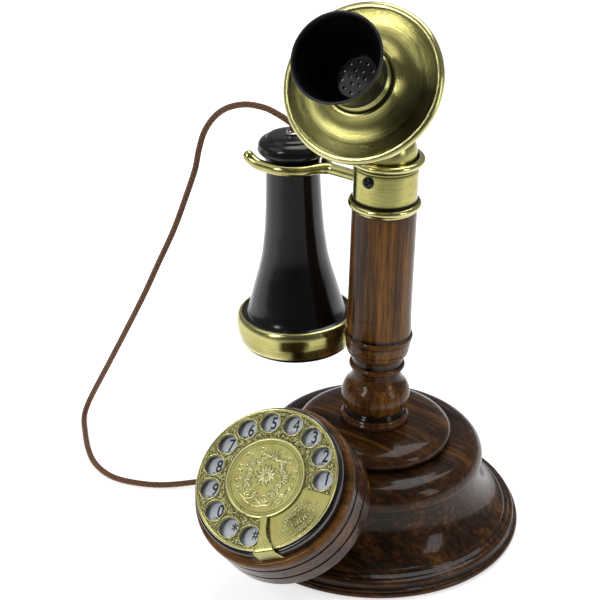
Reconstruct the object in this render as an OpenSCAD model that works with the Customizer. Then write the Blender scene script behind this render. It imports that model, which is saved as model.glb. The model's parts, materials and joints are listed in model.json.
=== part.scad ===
// Candlestick desk telephone: turned wooden base and column, brass collar
// and transmitter, tilted rotary dial, and a receiver hung on a forked hook.
// Millimetres. +Z up, the dial faces -Y, the receiver hangs on the -X side.
// The felt under the base stands on z = 0, centred on the column's axis.

/* [Base and column] */

// widest part of the turned foot rim, across
base_d = 174; // [160:1:200]

// top face of the turned base
base_top = 55.3; // [50:0.1:62]

// plinth disc under the column, across
plinth_d = 89; // [76:1:94]

// plinth disc, thickness
plinth_h = 10.9; // [8:0.1:14]

// turned column, plain part across
column_d = 35.6; // [33:0.1:38]

// column from the plinth to the underside of the collar
column_len = 131.8; // [120:0.1:160]

/* [Collar and neck] */

// how far the collar's sleeve stands inside the column's face
collar_inset = 0.2; // [0:0.1:0.6]

// brass collar, bottom to the rim of the recess
collar_h = 30.6; // [29:0.1:36]

// collar sleeve wall
collar_wall = 1.6; // [1.2:0.1:2.2]

/* [Dial] */

// finger wheel across
wheel_d = 80; // [76:0.5:84]

// finger hole across
hole_d = 11.3; // [10:0.1:12]

// angle between neighbouring finger holes
hole_pitch = 24; // [23:0.5:25]

// medallion over the wheel's hub, across
medal_d = 44.8; // [36:0.1:48]

// dial face: angle of its normal above the horizontal
dial_tilt = 51; // [46:1:56]

// finger wheel centre beyond the foot's rim, level distance
dial_reach = 20.2; // [17:0.1:26]

// finger wheel centre above the top of the base
dial_rise = 24.9; // [22:0.1:30]

// wooden rim showing round the black dial ring
drum_rim = 3.6; // [2.5:0.1:6]

// wooden dial drum depth
drum_depth = 29.8; // [28:0.1:36]

/* [Transmitter] */

// brass dish across its rolled rim
dish_d = 84.2; // [76:0.1:92]

// mouthpiece across its lip
mouth_d = 46.6; // [40:0.1:52]

// transmitter aim above the horizontal
aim_tilt = 34.6; // [25:0.1:45]

// transmitter aim round the column, from straight ahead
aim_turn = 9.4; // [0:0.1:15]

/* [Receiver and hook] */

// receiver neck just under its cap, across
neck_d = 30.4; // [28:0.1:34]

// receiver brass band across
band_d = 69.4; // [64:0.1:74]

// column axis to the receiver axis at the hook
hook_reach = 60.9; // [58:0.1:70]

// receiver hangs this far off plumb, lower end towards the column
hang_lean = 2.8; // [0:0.1:4]

// hook rod across
rod_d = 6.3; // [5:0.1:7]

/* [Cord] */

// braided receiver cord across
cord_d = 3.5; // [3:0.1:4.5]

/* [Hidden] */

gap = 0.2;              // between fixed parts that slip together
run = 0.05;             // radial clearance of a running pin
free = 0.5;             // clearance round moving parts

rim_r = base_d / 2;
shoulder_rho = 10.4;                       // rounding of the base's shoulder
shoulder_r = rim_r - 33.8;                 // centre of that rounding
shoulder_z = base_top - shoulder_rho - 0.5;
wall = 8;                                  // base wall
felt_t = 1.5;
plate_t = 2;
plate_r = rim_r - 5.7;
plate_top = felt_t + plate_t;
rim_bottom = 0.8;
cavity_r = rim_r - 14;
ceiling = base_top - 9.3;
cover_screw_r = rim_r - 9.5;               // circle of the cover screws
ballast_r = 40;
ballast_h = 12;
ballast_y = 14;                            // set back, under the board
bolt_x = 20;                               // its bolts, either side
board_z = 20;
board_t = 1.6;
board_screw_x = 24;
board_screw_y = [8, 34];

plinth_r = plinth_d / 2;
dial_y = rim_r + dial_reach;
dial_z = base_top + dial_rise;
plinth_top = base_top + plinth_h;
column_r = column_d / 2;
column_top = plinth_top + column_len;
tube_r = 5;
tube_bore = 3.4;
nut_r = 8;
nut_t = 4;
spigot_len = 6;
collar_r = column_r - collar_inset;
spigot_r = collar_r - collar_wall - gap;

collar_in = collar_r - collar_wall;
collar_z = column_top - 0.1 + gap / 2;     // underside of the collar
collar_top = collar_z + collar_h;
shelf_z = collar_top - 8.3;                // flange inside the collar
neck_seat = collar_top - 4.2;
neck_foot_r = collar_r - 1.3;
stem_r = 8;
rod_r = rod_d / 2;
pivot_x = 5;
pivot_z = column_top + 13;
pin_r = 1.5;
bracket_y = collar_in - 4;                 // inside faces of the cheeks
bracket_t = 1.4;
bracket_w = pivot_x + pin_r + 1.5 + 6.5;
bracket_z = column_top + spigot_len + 0.4;
screw_head_r = 3.3;
screw_z = shelf_z - 2.4;
slot_low = pivot_z - rod_r - free;
slot_high = pivot_z + rod_r + 3.2;
plunger_x = 11;
plunger_r = 1.2;
switch_z = column_top + spigot_len + 1.65;
switch_h = 2.4;
tip_bend = 14;                             // the prongs' ends, radius and sweep
tip_turn = 44;

tilt_z = collar_top + 25.8;                // transmitter hinge
lug_t = 8;
lug_r = 6.8;
ear_t = 3.8;
ear_gap = 0.15;
tilt_pin_r = 2.4;
dish_r = dish_d / 2;
cup_r = 24;
cup_screw_r = cup_r + 2;
mouth_r = mouth_d / 2;
mouth_plane = 86.9;                        // hinge to the plane of the lip

wheel_r = wheel_d / 2;
wheel_t = 1.6;
hole_r = hole_d / 2;
hole_circle = wheel_r - 8;
hole_first = 19;                           // direction of the first hole
hole_count = 12;
medal_r = medal_d / 2;
drum_face = -9.7;                          // below the wheel's front face
drum_back = drum_face - drum_depth;
tenon_r = 20;
tenon_len = 38;
drum_bore = wheel_r - 3;
drum_floor = drum_back + 5.5;
wire_bore = 6;
ring_r = wheel_r + 1.7;
drum_r = ring_r + drum_rim;
ring_in = wheel_r - 1.4;
ring_top = -2.2;
plate_face = -4.2;
plate_disc_t = 0.8;
ledge_r = wheel_r - 6;
frame_r = wheel_r - 4;
drum_screw_r = wheel_r - 0.8;              // circle of the ring's screws
frame_z = -12;
frame_t = 1.8;
post_r = frame_r - 8;
hub_r = 9;
hub_screw_r = 6.4;
cam_r = 9;
cam_z = -19;
shaft_r = 3;
bridge_z = drum_floor + 2.3;
bridge_t = 1.8;
gear_teeth = 45;
pinion_teeth = 12;
gear_module = 0.8;
gear_z = -16;
gear_t = 1.5;
gear_gap = 0.25;
gear_centre = gear_module * (gear_teeth + pinion_teeth) / 2 + gear_gap;
gov_angle = 190;
gov_r = 8;                                 // governor weights
stop_angle = -61;
stop_screw_z = -5.2;

neck_r = neck_d / 2;
cap_r = neck_r + 4.4;
fork_clear = 0.9;
fork_r = neck_r + fork_clear + rod_r;
cap_z = pivot_z + rod_r + 0.05;            // the cap sits on the prongs
band_r = band_d / 2;
cap_h = 11.2;
ferrule_top = cap_h + 2.4;

gland_angle = 202;
gland_z = 7;
gland_r = rim_r + 3.2;
cord_r = cord_d / 2;
jack_w = 16;
jack_low = 5.5;
jack_high = 18;
jack_face = rim_r - 11;
jack_back = jack_face - 14;

function polar(r, a) = [r * cos(a), r * sin(a)];
function arc(cx, cy, r, a0, a1, n = 8) =
    [for (i = [0 : n]) [cx + r * cos(a0 + (a1 - a0) * i / n), cy + r * sin(a0 + (a1 - a0) * i / n)]];

wood_c = [0.27, 0.16, 0.09];
brass_c = [0.58, 0.55, 0.32];
black_c = [0.05, 0.05, 0.055];
steel_c = [0.7, 0.7, 0.72];

module turned(pts, n = 96) { rotate_extrude($fn = n) polygon(pts); }
module tube(r, bore, z0, z1, n = 64) {
    translate([0, 0, z0]) rotate_extrude($fn = n) translate([bore, 0]) square([r - bore, z1 - z0]);
}
module rod(r, z0, z1, n = 48) { translate([0, 0, z0]) cylinder(r = r, h = z1 - z0, $fn = n); }
module at_dial() { translate([0, -dial_y, dial_z]) rotate([90 - dial_tilt, 0, 0]) children(); }
module at_aim() { translate([0, 0, tilt_z]) rotate([0, 0, aim_turn]) rotate([90 - aim_tilt,
    0, 0]) children(); }
module thirds(r, first = 30) {
    for (k = [0 : 2]) rotate([0, 0, first + k * 120]) translate([r, 0, 0]) children();
}
module quarters(r, first = 45) {
    for (k = [0 : 3]) rotate([0, 0, first + k * 90]) translate([r, 0, 0]) children();
}
module at_neck() { rotate([0, 0, aim_turn]) children(); }
module at_receiver() { translate([-hook_reach, 0, cap_z]) rotate([0, -hang_lean, 0]) children(); }

// Outline of the turned base, foot rim to flat top.
base_side = concat(
    [[rim_r - 5.4, rim_bottom], [rim_r - 1.6, rim_bottom]],
    arc(rim_r - 2, 3, 2, -70, 60, 6),
    [[rim_r - 0.8, 5.6], [rim_r - 2, 6.2], [rim_r - 2.6, 7.6]],
    arc(rim_r - 4.6, 8.2, 2, 0, 80, 4),
    [[rim_r - 5.4, 10.4], [rim_r - 5.9, 11], [rim_r - 8.2, 11.8], [rim_r - 8.6, 12.4]],
    [for (i = [0 : 10]) let (t = i / 10)
        [rim_r - 9.2 - 15.2 * (1 - pow(1 - t, 2.1)), 13 + (shoulder_z - 15.5) * pow(t, 1.25)]],
    arc(shoulder_r, shoulder_z, shoulder_rho, -12, 84, 12),
    [[shoulder_r - 1.4, base_top]]);

module felt_pad() { color([0.12, 0.2, 0.14]) rod(plate_r - 0.4, 0, felt_t, 96); }

module cover_plate() {
    color(steel_c) difference() {
        rod(plate_r - gap, felt_t, plate_top, 96);
        quarters(cover_screw_r)
            turned([[0, felt_t - 1], [4.7, felt_t - 1], [2.1, felt_t + 1.6], [2.1, 10], [0, 10]], 32);
        for (x = [-bolt_x, bolt_x]) translate([x, ballast_y, 0]) rod(2.1, 0, 10, 32);
    }
}

module cover_screws() {
    color(steel_c) {
        quarters(cover_screw_r) translate([0, 0, felt_t]) {
            cylinder(r1 = 3.5, r2 = 2, h = 1.5, $fn = 32);
            cylinder(r = 1.9, h = 8, $fn = 32);
        }
        for (x = [-bolt_x, bolt_x]) translate([x, ballast_y, felt_t]) cylinder(r = 1.9, h = 9, $fn = 32);
    }
}

module base_shell() {
    color(wood_c) difference() {
        turned(concat(
            [[tube_r + gap, base_top], [tube_r + gap, ceiling], [shoulder_r - 4, ceiling],
             [shoulder_r + shoulder_rho - wall - 1, ceiling - 8],
             [shoulder_r + shoulder_rho - wall - 1, 27], [cavity_r - 9, 14], [cavity_r, 11],
             [cavity_r, plate_top], [plate_r, plate_top]],
            [[plate_r, rim_bottom]], base_side), 120);
        quarters(cover_screw_r) rod(1.95, 0, 10.2, 32);
        at_dial() rod(tenon_r + gap, drum_back - tenon_len - 12, drum_back + 4, 72);
        translate([-jack_w / 2 - gap, jack_back - 2, jack_low - gap])
            cube([jack_w + 2 * gap, 60, jack_high - jack_low + 2 * gap]);
        rotate([0, 0, gland_angle]) translate([0, 0, gland_z]) rotate([0, 90, 0]) rod(3 + gap / 2,
            50, rim_r + 5, 40);
    }
}

module ballast() {
    color([0.2, 0.2, 0.21]) translate([0, ballast_y, 0]) difference() {
        rod(ballast_r, plate_top, plate_top + ballast_h, 72);
        for (x = [-bolt_x, bolt_x]) translate([x, 0, 0]) rod(2, 0, plate_top + 8, 32);
    }
}

module base_plinth() {
    color(wood_c) translate([0, 0, base_top]) turned(concat(
        [[tube_r + gap, 0], [plinth_r - 3.2, 0], [plinth_r - 1.4, 0.8]],
        arc(plinth_r - 2.4, 3.2, 2.4, -50, 20, 5),
        [for (a = [12 : 13 : 77]) [plinth_r - 13.8 + 13.8 * cos(a), plinth_h - 7.3 + 7.0 * sin(a)]],
        [[plinth_r - 14.1, plinth_h], [tube_r + gap, plinth_h]]), 120);
}

// Outline of the column, foot ring to the seat of the collar.
column_side = concat(
    [[19.0, 0], [19.6, 0.8], [19.5, 2.4], [18.6, 3.4], [18.8, 4.2], [18.2, 5.0], [16.9, 5.4],
        [16.3, 6.2], [16.6, 7.0]],
    arc(7.2, 16.2, 12.4, -44, 40, 12),
    [[15.6, 25.4], [14.5, 27.4], [13.8, 29.6], [13.7, 31.2], [14.2, 32.0], [14.1, 33.0]],
    arc(14.1, 35.2, 1.75, -80, 80, 8),
    [[14.4, 37.4], [14.5, 38.6], [14.9, 41.6], [15.9, 42.2], [16.1, 42.8], [17.2, 43.8], [17.5, 44.8],
     [17.4, 45.6], [18.0, 46.8], [18.2, 49.0], [column_r + 0.9, 51.4]],
    arc(column_r - 0.2, 54.2, 1.75, -50, 70, 7),
    [[column_r + 0.5, 58.6], [column_r + 0.1, 68], [column_r, 84], [column_r, column_len]]);

module column() {
    color(wood_c) translate([0, 0, plinth_top]) difference() {
        turned(concat([[tube_r + gap, 0]], column_side,
            [[spigot_r, column_len], [spigot_r, column_len + spigot_len],
                [tube_r + gap, column_len + spigot_len]]), 96);
        rod(nut_r + 1.2, column_len + spigot_len - 5.4, column_len + spigot_len + 1, 48);
    }
}

module tie_tube() { color(steel_c) tube(tube_r, tube_bore, ceiling - 10, column_top +
    spigot_len - 0.3, 48); }

module tie_nuts() {
    color(steel_c) {
        for (z = [ceiling - nut_t - 1.2, column_top + spigot_len - 4.6]) translate([0, 0, z]) difference() {
            cylinder(r = nut_r, h = nut_t, $fn = 6);
            translate([0, 0, -1]) cylinder(r = tube_r + 0.02, h = nut_t + 2, $fn = 48);
        }
        tube(14, tube_r + gap, ceiling - 1.1, ceiling - 0.05);
    }
}

module circuit_board() {
    color([0.1, 0.32, 0.16]) {
        difference() {
            translate([-28, 4, board_z]) cube([56, 34, board_t]);
            for (x = [-board_screw_x, board_screw_x], y = board_screw_y) translate([x, y, 0])
                rod(1.2, board_z - 5, board_z + 5, 24);
        }
        for (x = [-board_screw_x, board_screw_x], y = board_screw_y) translate([x, y, 0]) {
            rod(2.6, plate_top + ballast_h, board_z, 32);
            rod(1.1, board_z - 1, board_z + 2.4, 24);
        }
    }
}

module board_parts() {
    color([0.14, 0.14, 0.15]) translate([0, 0, board_z + board_t + 0.05]) {
        translate([-19, 12, 0]) cube([16, 10, 7]);
        translate([4, 18, 0]) cube([12, 12, 9]);
        translate([-14, 29, 0]) cylinder(r = 3.5, h = 9, $fn = 40);
        translate([-4, 29, 0]) cylinder(r = 3.5, h = 9, $fn = 40);
        translate([5, 8, 0]) cube([10, 6, 3]);
    }
}

module sounder() {
    color(black_c) translate([cavity_r - 17, 16, plate_top]) difference() {
        cylinder(r = 11, h = 7.2, $fn = 56);
        translate([0, 0, 5.2]) cylinder(r = 2.2, h = 3, $fn = 32);
    }
}

module line_jack() {
    color(black_c) difference() {
        translate([-jack_w / 2, jack_back, jack_low]) cube([jack_w, jack_face - jack_back,
            jack_high - jack_low]);
        translate([-5, jack_face - 9, jack_low + 2.6]) cube([10, 10, 6.6]);
        translate([-1.6, jack_face - 9, jack_low + 8]) cube([3.2, 10, 2.6]);
    }
}

module cord_grommet() {
    color(brass_c) rotate([0, 0, gland_angle]) translate([0, 0, gland_z]) rotate([0, 90, 0])
        turned([[cord_r, cavity_r - 1], [3, cavity_r - 1], [3, rim_r + 0.8], [4.8, rim_r + 0.8],
                [4.8, rim_r + 1.6], [3.6, gland_r - 0.3], [3, gland_r], [cord_r, gland_r]], 48);
}

// Receiver cord: up out of the ferrule, over, and down in one long slant to
// the table; then round on the table to the grommet low on the base's side.
// Each point of the drop is beside the ferrule, at a share of its height.
ferrule_exit = [-hook_reach - ferrule_top * sin(hang_lean), 0, cap_z + ferrule_top * cos(hang_lean)];
gland_exit = [gland_r * cos(gland_angle), gland_r * sin(gland_angle), gland_z];
cord_drop = [[-3.9, 0, 1.021], [-10.4, 0, 1.029], [-18.9, 0, 1.036], [-30.9, -1, 1.034],
    [-42.9, -2, 1.014], [-51.4, -3, 0.9834], [-57.9, -4, 0.9395], [-61.4, -5, 0.8868],
    [-64.4, -5, 0.8297], [-70.4, -6, 0.7507], [-79.4, -7, 0.6453], [-90.4, -9, 0.5356],
    [-100.4, -11, 0.4346], [-113.4, -13, 0.3161], [-128.4, -15, 0.1844], [-140.4, -17, 0.07902]];
cord_points = concat([ferrule_exit, ferrule_exit + 3 * [-sin(hang_lean), 0, cos(hang_lean)]],
    [for (p = cord_drop) [ferrule_exit[0] + p[0], p[1], ferrule_exit[2] * p[2]]],
    [[-205.5, -20, 7.5], [-203, -26, 2.6], [-193, -36.5, 2.1], [-177, -51.5, 2], [-161.5, -62, 2],
    [-144, -66.5, 2], [-127, -62.5, 2], [-112, -54, 2.2]],
    [gland_exit + [polar(12, gland_angle)[0], polar(12, gland_angle)[1] - 1.2, -3],
    gland_exit + [polar(3, gland_angle)[0], polar(3, gland_angle)[1], 0], gland_exit]);

function spline(p0, p1, p2, p3, t) = 0.5 * ((2 * p1) + (p2 - p0) * t
    + (2 * p0 - 5 * p1 + 4 * p2 - p3) * t * t + (3 * p1 - p0 - 3 * p2 + p3) * t * t * t);
function track(pts, n) = let (m = len(pts)) concat(
    [for (i = [0 : m - 2], k = [0 : n - 1])
        spline(pts[max(i - 1, 0)], pts[i], pts[i + 1], pts[min(i + 2, m - 1)], k / n)], [pts[m - 1]]);
function unit(v) = v / norm(v);
function sides(path) = let (m = len(path)) [for (i = [0 : m - 1])
    unit(path[min(i + 1, m - 1)] - path[max(i - 1, 0)])];

module swept(path, r, n) {
    m = len(path);
    t = sides(path);
    ring = [for (i = [0 : m - 1]) let (u = unit(cross(t[i], [0.12, 1, 0.08])), v = cross(t[i], u))
        for (k = [0 : n - 1]) path[i] + r * (u * cos(360 * k / n) + v * sin(360 * k / n))];
    polyhedron(points = ring, faces = concat(
        [[for (k = [0 : n - 1]) k]],
        [for (i = [0 : m - 2], k = [0 : n - 1]) let (a = i * n + k, b = i * n + (k + 1) % n) [a, a + n, b]],
        [for (i = [0 : m - 2], k = [0 : n - 1]) let (a = i * n + k, b = i * n + (k + 1) % n) [b,
            a + n, b + n]],
        [[for (k = [n - 1 : -1 : 0]) (m - 1) * n + k]]));
}

module receiver_cord() { color([0.35, 0.2, 0.12]) swept(track(cord_points, 2), cord_r, 8); }

module collar() {
    color(brass_c) difference() {
        translate([0, 0, collar_z]) turned(concat(
            [[collar_in, 0], [collar_r + 0.2, 0]],
            arc(collar_r + 0.4, 3, 2, -85, 80, 8),
            [[collar_r + 0.3, 5.2], [collar_r, 6.2], [collar_r, collar_h - 6.4],
                [collar_r + 0.5, collar_h - 5.9],
             [collar_r + 0.6, collar_h - 4.6]],
            arc(collar_r + 1.2, collar_h - 2.1, 1.9, -75, 88, 8),
            [[collar_r - 0.1, collar_h - 0.2], [neck_foot_r + 1, collar_h - 1],
                [neck_foot_r + 1, neck_seat - collar_z],
             [stem_r + gap, neck_seat - collar_z], [stem_r + gap, shelf_z - collar_z],
                 [collar_in, shelf_z - collar_z]]), 96);
        translate([-collar_r - 6, -rod_r - free,
            slot_low]) cube([12, 2 * rod_r + 2 * free, slot_high - slot_low]);
        translate([0, 0, screw_z]) rotate([90, 0, 0]) translate([0, 0, -30]) cylinder(r = 1.75,
            h = 60, $fn = 32);
    }
}

module collar_screws() {
    color(black_c) for (a = [0, 180]) rotate([0, 0, a]) translate([0, -collar_r + 0.28,
        screw_z]) rotate([90, 0, 0]) difference() {
        union() {
            translate([0, 0, -6.2]) cylinder(r = 1.6, h = 6.6, $fn = 32);
            rotate_extrude($fn = 48) polygon(concat([[0, 0.3], [screw_head_r, 0.3]],
                [for (k = [0 : 6]) [screw_head_r * cos(k * 15), 0.7 + 1.7 * sin(k * 15)]]));
        }
        for (r = [0, 90]) rotate([0, 0, r + 20]) translate([-1.5, -0.35, 1.4]) cube([3, 0.7, 2]);
    }
}

module hook_bracket() {
    color(steel_c) difference() {
        union() {
            for (s = [-1, 1]) translate([-6.5, s > 0 ? bracket_y : -bracket_y - bracket_t, bracket_z])
                cube([bracket_w, bracket_t, shelf_z - bracket_z - 0.3]);
            translate([-6.5, -bracket_y - 0.1, bracket_z]) cube([bracket_w, 2 * bracket_y + 0.2, 1.2]);
            translate([6, -4.8, bracket_z]) cube([8.4, 9.6, 1.2]);
        }
        translate([pivot_x, 30, pivot_z]) rotate([90, 0, 0]) cylinder(r = pin_r, h = 60, $fn = 32);
        translate([0, 30, screw_z]) rotate([90, 0, 0]) cylinder(r = 1.62, h = 60, $fn = 32);
        translate([plunger_x, 0, 0]) rod(plunger_r + free, bracket_z - 1, shelf_z, 24);
        rod(tube_bore, bracket_z - 1, shelf_z, 40);
    }
}

module hook_pin() {
    color(steel_c) translate([pivot_x, bracket_y + bracket_t, pivot_z]) rotate([90, 0, 0])
        cylinder(r = pin_r, h = 2 * bracket_y + 2 * bracket_t, $fn = 32);
}

// Torsion spring wound round the hook's pin, beside the lever.
module hook_spring() {
    color(steel_c) translate([pivot_x, 4.4, pivot_z]) rotate([-90, 0, 0])
        swept([for (i = [0 : 60]) [2.6 * cos(i * 24), 2.6 * sin(i * 24), i * 0.09]], 0.35, 6);
}

module hook_switch() {
    color(black_c) difference() {
        translate([plunger_x - 3.4, -4.5, switch_z]) cube([5.8, 9, switch_h]);
        translate([plunger_x, 0, 0]) rod(plunger_r + 0.1, switch_z - 1, switch_z + switch_h + 1, 24);
    }
}

module switch_plunger() {
    color([0.85, 0.85, 0.82]) translate([plunger_x, 0, 0]) rod(plunger_r, switch_z + 0.15, pivot_z - 2.2,
        24);
}

module hook_lever() {
    inner_x = -hook_reach + fork_r;
    color(brass_c) difference() {
        union() {
            translate([inner_x - 1, 0, pivot_z]) rotate([0, 90, 0]) rod(rod_r, 0, -inner_x - 11, 48);
            translate([-13, -2.4, pivot_z - 2]) cube([25.6, 4.8, 4]);
            translate([pivot_x, 2.4, pivot_z]) rotate([90, 0, 0]) cylinder(r = 3.4, h = 4.8, $fn = 40);
            translate([-hook_reach, 0, pivot_z]) rotate([0, 0, -92]) rotate_extrude(angle = 184, $fn = 72)
                translate([fork_r, 0]) circle(r = rod_r, $fn = 32);
            for (s = [-1, 1]) translate([-hook_reach, s * fork_r, pivot_z]) {
                translate([-7, 0, 0]) rotate([0, 90, 0]) rod(rod_r, 0, 7.8, 32);
                translate([-7, 0, tip_bend]) rotate([90, 0, 0]) rotate([0, 0, -90]) mirror([0, 1, 0])
                    rotate_extrude(angle = tip_turn, $fn = 72) translate([tip_bend, 0]) circle(r = rod_r,
                        $fn = 32);
                translate([-7 - tip_bend * sin(tip_turn), 0, tip_bend - tip_bend * cos(tip_turn)])
                    sphere(r = rod_r, $fn = 32);
            }
        }
        translate([pivot_x, 10, pivot_z]) rotate([90, 0, 0]) cylinder(r = pin_r + run, h = 20, $fn = 32);
    }
}

module neck() {
    color(brass_c) at_neck() {
        turned(concat([[0, shelf_z - 2.6], [stem_r - run, shelf_z - 2.6],
            [stem_r - run, neck_seat + 0.1], [neck_foot_r, neck_seat + 0.1],
            [neck_foot_r, collar_top + 1.4]],
            [for (k = [1 : 7]) [8.4 + (neck_foot_r - 8.4) * cos(k * 12.8),
                collar_top + 1.4 + 11.5 * sin(k * 12.8)]],
            [[8.2, tilt_z - 8.2], [0, tilt_z - 8.2]]), 96);
        for (s = [-1, 1]) difference() {
            translate([s > 0 ? lug_t / 2 + ear_gap : -lug_t / 2 - ear_gap - ear_t, 0, tilt_z]) {
                rotate([0, 90, 0]) cylinder(r = lug_r, h = ear_t, $fn = 56);
                translate([0, -lug_r, -8.6]) cube([ear_t, 2 * lug_r, 8.6]);
            }
            translate([-20, 0, tilt_z]) rotate([0, 90, 0]) cylinder(r = tilt_pin_r, h = 40, $fn = 40);
        }
    }
}

module neck_nut() {
    color(steel_c) tube(10.6, stem_r + 0.05, shelf_z - 2.4, shelf_z - 0.1);
}

module tilt_screw() {
    color(brass_c) at_neck() translate([-lug_t / 2 - ear_gap - ear_t - 2.4,
        0, tilt_z]) rotate([0, 90, 0]) difference() {
        union() {
            cylinder(r = tilt_pin_r, h = lug_t + 2 * ear_t + 2 * ear_gap + 5.4, $fn = 40);
            cylinder(r = 4.6, h = 2.3, $fn = 40);
            translate([0, 0, lug_t + 2 * ear_t + 2 * ear_gap + 2.5]) cylinder(r = 4.6, h = 2.6, $fn = 6);
        }
        translate([-5, -0.5, -1]) cube([10, 1, 2]);
    }
}

module transmitter_cup() {
    color(brass_c) at_aim() difference() {
        union() {
            turned([[0, 11.5], [8.5, 11.5], [9.5, 12.5], [10, 15], [cup_r - 5, 19.5],
                [cup_r - 1.5, 22.5], [cup_r, 26],
                [cup_r, 40.4], [cup_r + 4, 40.4], [cup_r + 4, 41.8], [cup_r - 1.6, 41.8], [cup_r - 1.6, 26],
                [cup_r - 6, 21.5], [0, 21.5]], 80);
            translate([-lug_t / 2, 0, 0]) rotate([0, 90, 0]) cylinder(r = lug_r, h = lug_t, $fn = 56);
            translate([-lug_t / 2, -lug_r, 0]) cube([lug_t, 2 * lug_r, 12]);
        }
        translate([-20, 0, 0]) rotate([0, 90, 0]) cylinder(r = tilt_pin_r + run, h = 40, $fn = 40);
        thirds(cup_screw_r) rod(1.1, 39, 43, 24);
    }
}

module cup_screws() {
    color(steel_c) at_aim() thirds(cup_screw_r) {
        rod(1.05, 39.5, 43.6, 24);
        rod(1.9, 38.6, 40.35, 32);
    }
}

// Spun brass face with its rolled rim, swept up to a short neck with one step.
module dish() {
    color(brass_c) at_aim() difference() {
        turned(concat(
            [[13.3, 41.9], [dish_r - 5.2, 41.9], [dish_r - 2.6, 42.4]],
            arc(dish_r - 2.4, 45.2, 2.4, -75, 130, 10),
            [[dish_r - 5.2, 46.6], [dish_r - 6.8, 46.1], [dish_r - 9.5, 45.5], [30, 45], [27, 45.1],
             [24.4, 45.7], [22.2, 46.8], [20.4, 48.4], [19, 50.2], [18.3, 50.6], [17.5, 50.6],
             [16.9, 51.2], [16.4, 52.4], [15.6, 53.4], [14.8, 54.7], [13.3, 54.8]]), 96);
        thirds(cup_screw_r) rod(1.08, 39, 43.7, 24);
    }
}

module mic_capsule() { color(steel_c) at_aim() rod(11.6, 44, 52.4, 56); }

module mic_grille() {
    color(black_c) at_aim() difference() {
        rod(12.9, 52.6, 54.2, 56);
        rod(0.9, 50, 56, 16);
        for (k = [0 : 5]) rotate([0, 0, k * 60]) translate([4, 0, 0]) rod(0.9, 50, 56, 16);
        for (k = [0 : 10]) rotate([0, 0, k * 360 / 11]) translate([8.2, 0, 0]) rod(0.9, 50, 56, 16);
    }
}

module mouthpiece() {
    color(black_c) at_aim() turned(concat(
        [[11, 54.4], [13.1, 54.4], [13.1, 55], [15.6, 55], [16, 55.5], [16, 56.6], [15.5, 57.4]],
        [for (k = [1 : 9]) let (t = k / 9)
            [15.5 + (mouth_r - 16.6) * t, 57.4 + (mouth_plane - 58.4) * pow(t, 1.05)]],
        arc(mouth_r - 0.7, mouth_plane - 0.7, 0.7, -10, 170, 6),
        [for (k = [9 : -1 : 1]) let (t = k / 9)
            [12 + (mouth_r - 13.9) * pow(t, 0.85), 60 + (mouth_plane - 61.4) * pow(t, 1.1)]],
        [[11.6, 59], [11, 56.6]]), 96);
}

// Radius of the receiver's shell down its length, from its neck to its ear end.
flare = [[-100, 1], [-96, 0.89], [-92.6, 0.792], [-85, 0.656], [-77.2, 0.513], [-69, 0.364],
    [-60.5, 0.24], [-51, 0.156], [-42.7, 0.097], [-27.5, 0.039], [-13.7, 0.006], [0, 0]];
function shell_r(z) = neck_r + lookup(z, flare) * (band_r - 4.1 - neck_r);

module receiver_shell() {
    color(black_c) at_receiver() turned(concat(
        [for (z = [0 : -4 : -92]) [shell_r(z), z]],
        [[shell_r(-95), -95], [shell_r(-96.5), -96.5], [band_r - 3.4, -97.6], [band_r - 3.4, -108],
            [band_r - 5.6, -108],
         [band_r - 5.6, -100], [shell_r(-92) - 3, -92]],
        [for (z = [-88 : 4 : -4]) [shell_r(z) - 2.6, z]], [[shell_r(-4) - 2.6, 0]]), 96);
}

module receiver_cap() {
    color(black_c) at_receiver() turned(concat(
        [[neck_r - 2.7, -3.6], [neck_r - 2.7, 0.05], [neck_r + 2.4, 0.05]],
        arc(cap_r - 2.6, 3.2, 2.6, -80, 20, 7),
        [for (k = [1 : 5]) [cap_r - 5.2 + 5 * cos(k * 16 + 4), 4 + 5.2 * sin(k * 16 + 4)]],
        [[cap_r - 5.2, cap_h - 1.9], [cap_r - 5.4, cap_h - 1.1], [cap_r - 6.6, cap_h - 0.5], [5, cap_h],
            [2.05, cap_h], [2.05, 6], [neck_r - 4.9, 4], [neck_r - 4.9, -3.6]]), 96);
}

module receiver_ferrule() {
    color(steel_c) at_receiver() turned([[cord_r, cap_h - 4], [2, cap_h - 4], [2, cap_h + 0.05],
        [3.6, cap_h + 0.05], [3.8, cap_h + 0.7],
        [3.1, cap_h + 1.2], [2.9, ferrule_top - 0.4], [2.6, ferrule_top], [cord_r, ferrule_top]], 48);
}

module ear_band() {
    color(brass_c) at_receiver() turned(concat(
        [[band_r - 3.2, -97.7], [band_r - 3, -96.6]],
        [for (k = [0 : 7]) [band_r - 2.7 + 2.7 * sin(k * 12 + 4), -101.4 + 4.8 * cos(k * 12 + 4)]],
        [[band_r - 0.1, -104], [band_r - 0.9, -109], [band_r - 2.2, -113.4], [band_r - 3.2, -113.8]]), 96);
}

module ear_cap() {
    color(black_c) at_receiver() difference() {
        turned([[0, -113], [9, -113.4], [20, -115.2], [band_r - 5, -115.9], [band_r - 3.6, -115.4],
            [band_r - 2.7, -114.1],
            [band_r - 3.4, -113.9], [band_r - 3.4, -108.2], [band_r - 5.8, -108.2],
                [band_r - 5.8, -111.2], [0, -111.2]], 96);
        for (k = [0 : 5]) rotate([0, 0, k * 60]) translate([4.4, 0, 0]) rod(1.1, -118, -108, 16);
        rod(1.1, -118, -108, 16);
    }
}

module receiver_driver() {
    color(steel_c) at_receiver() {
        rod(17, -107.4, -101, 56);
        rod(10, -101.1, -93, 48);
    }
}

module receiver_diaphragm() { color(steel_c) at_receiver() rod(band_r - 6.2, -108.2, -107.7, 72); }

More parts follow.
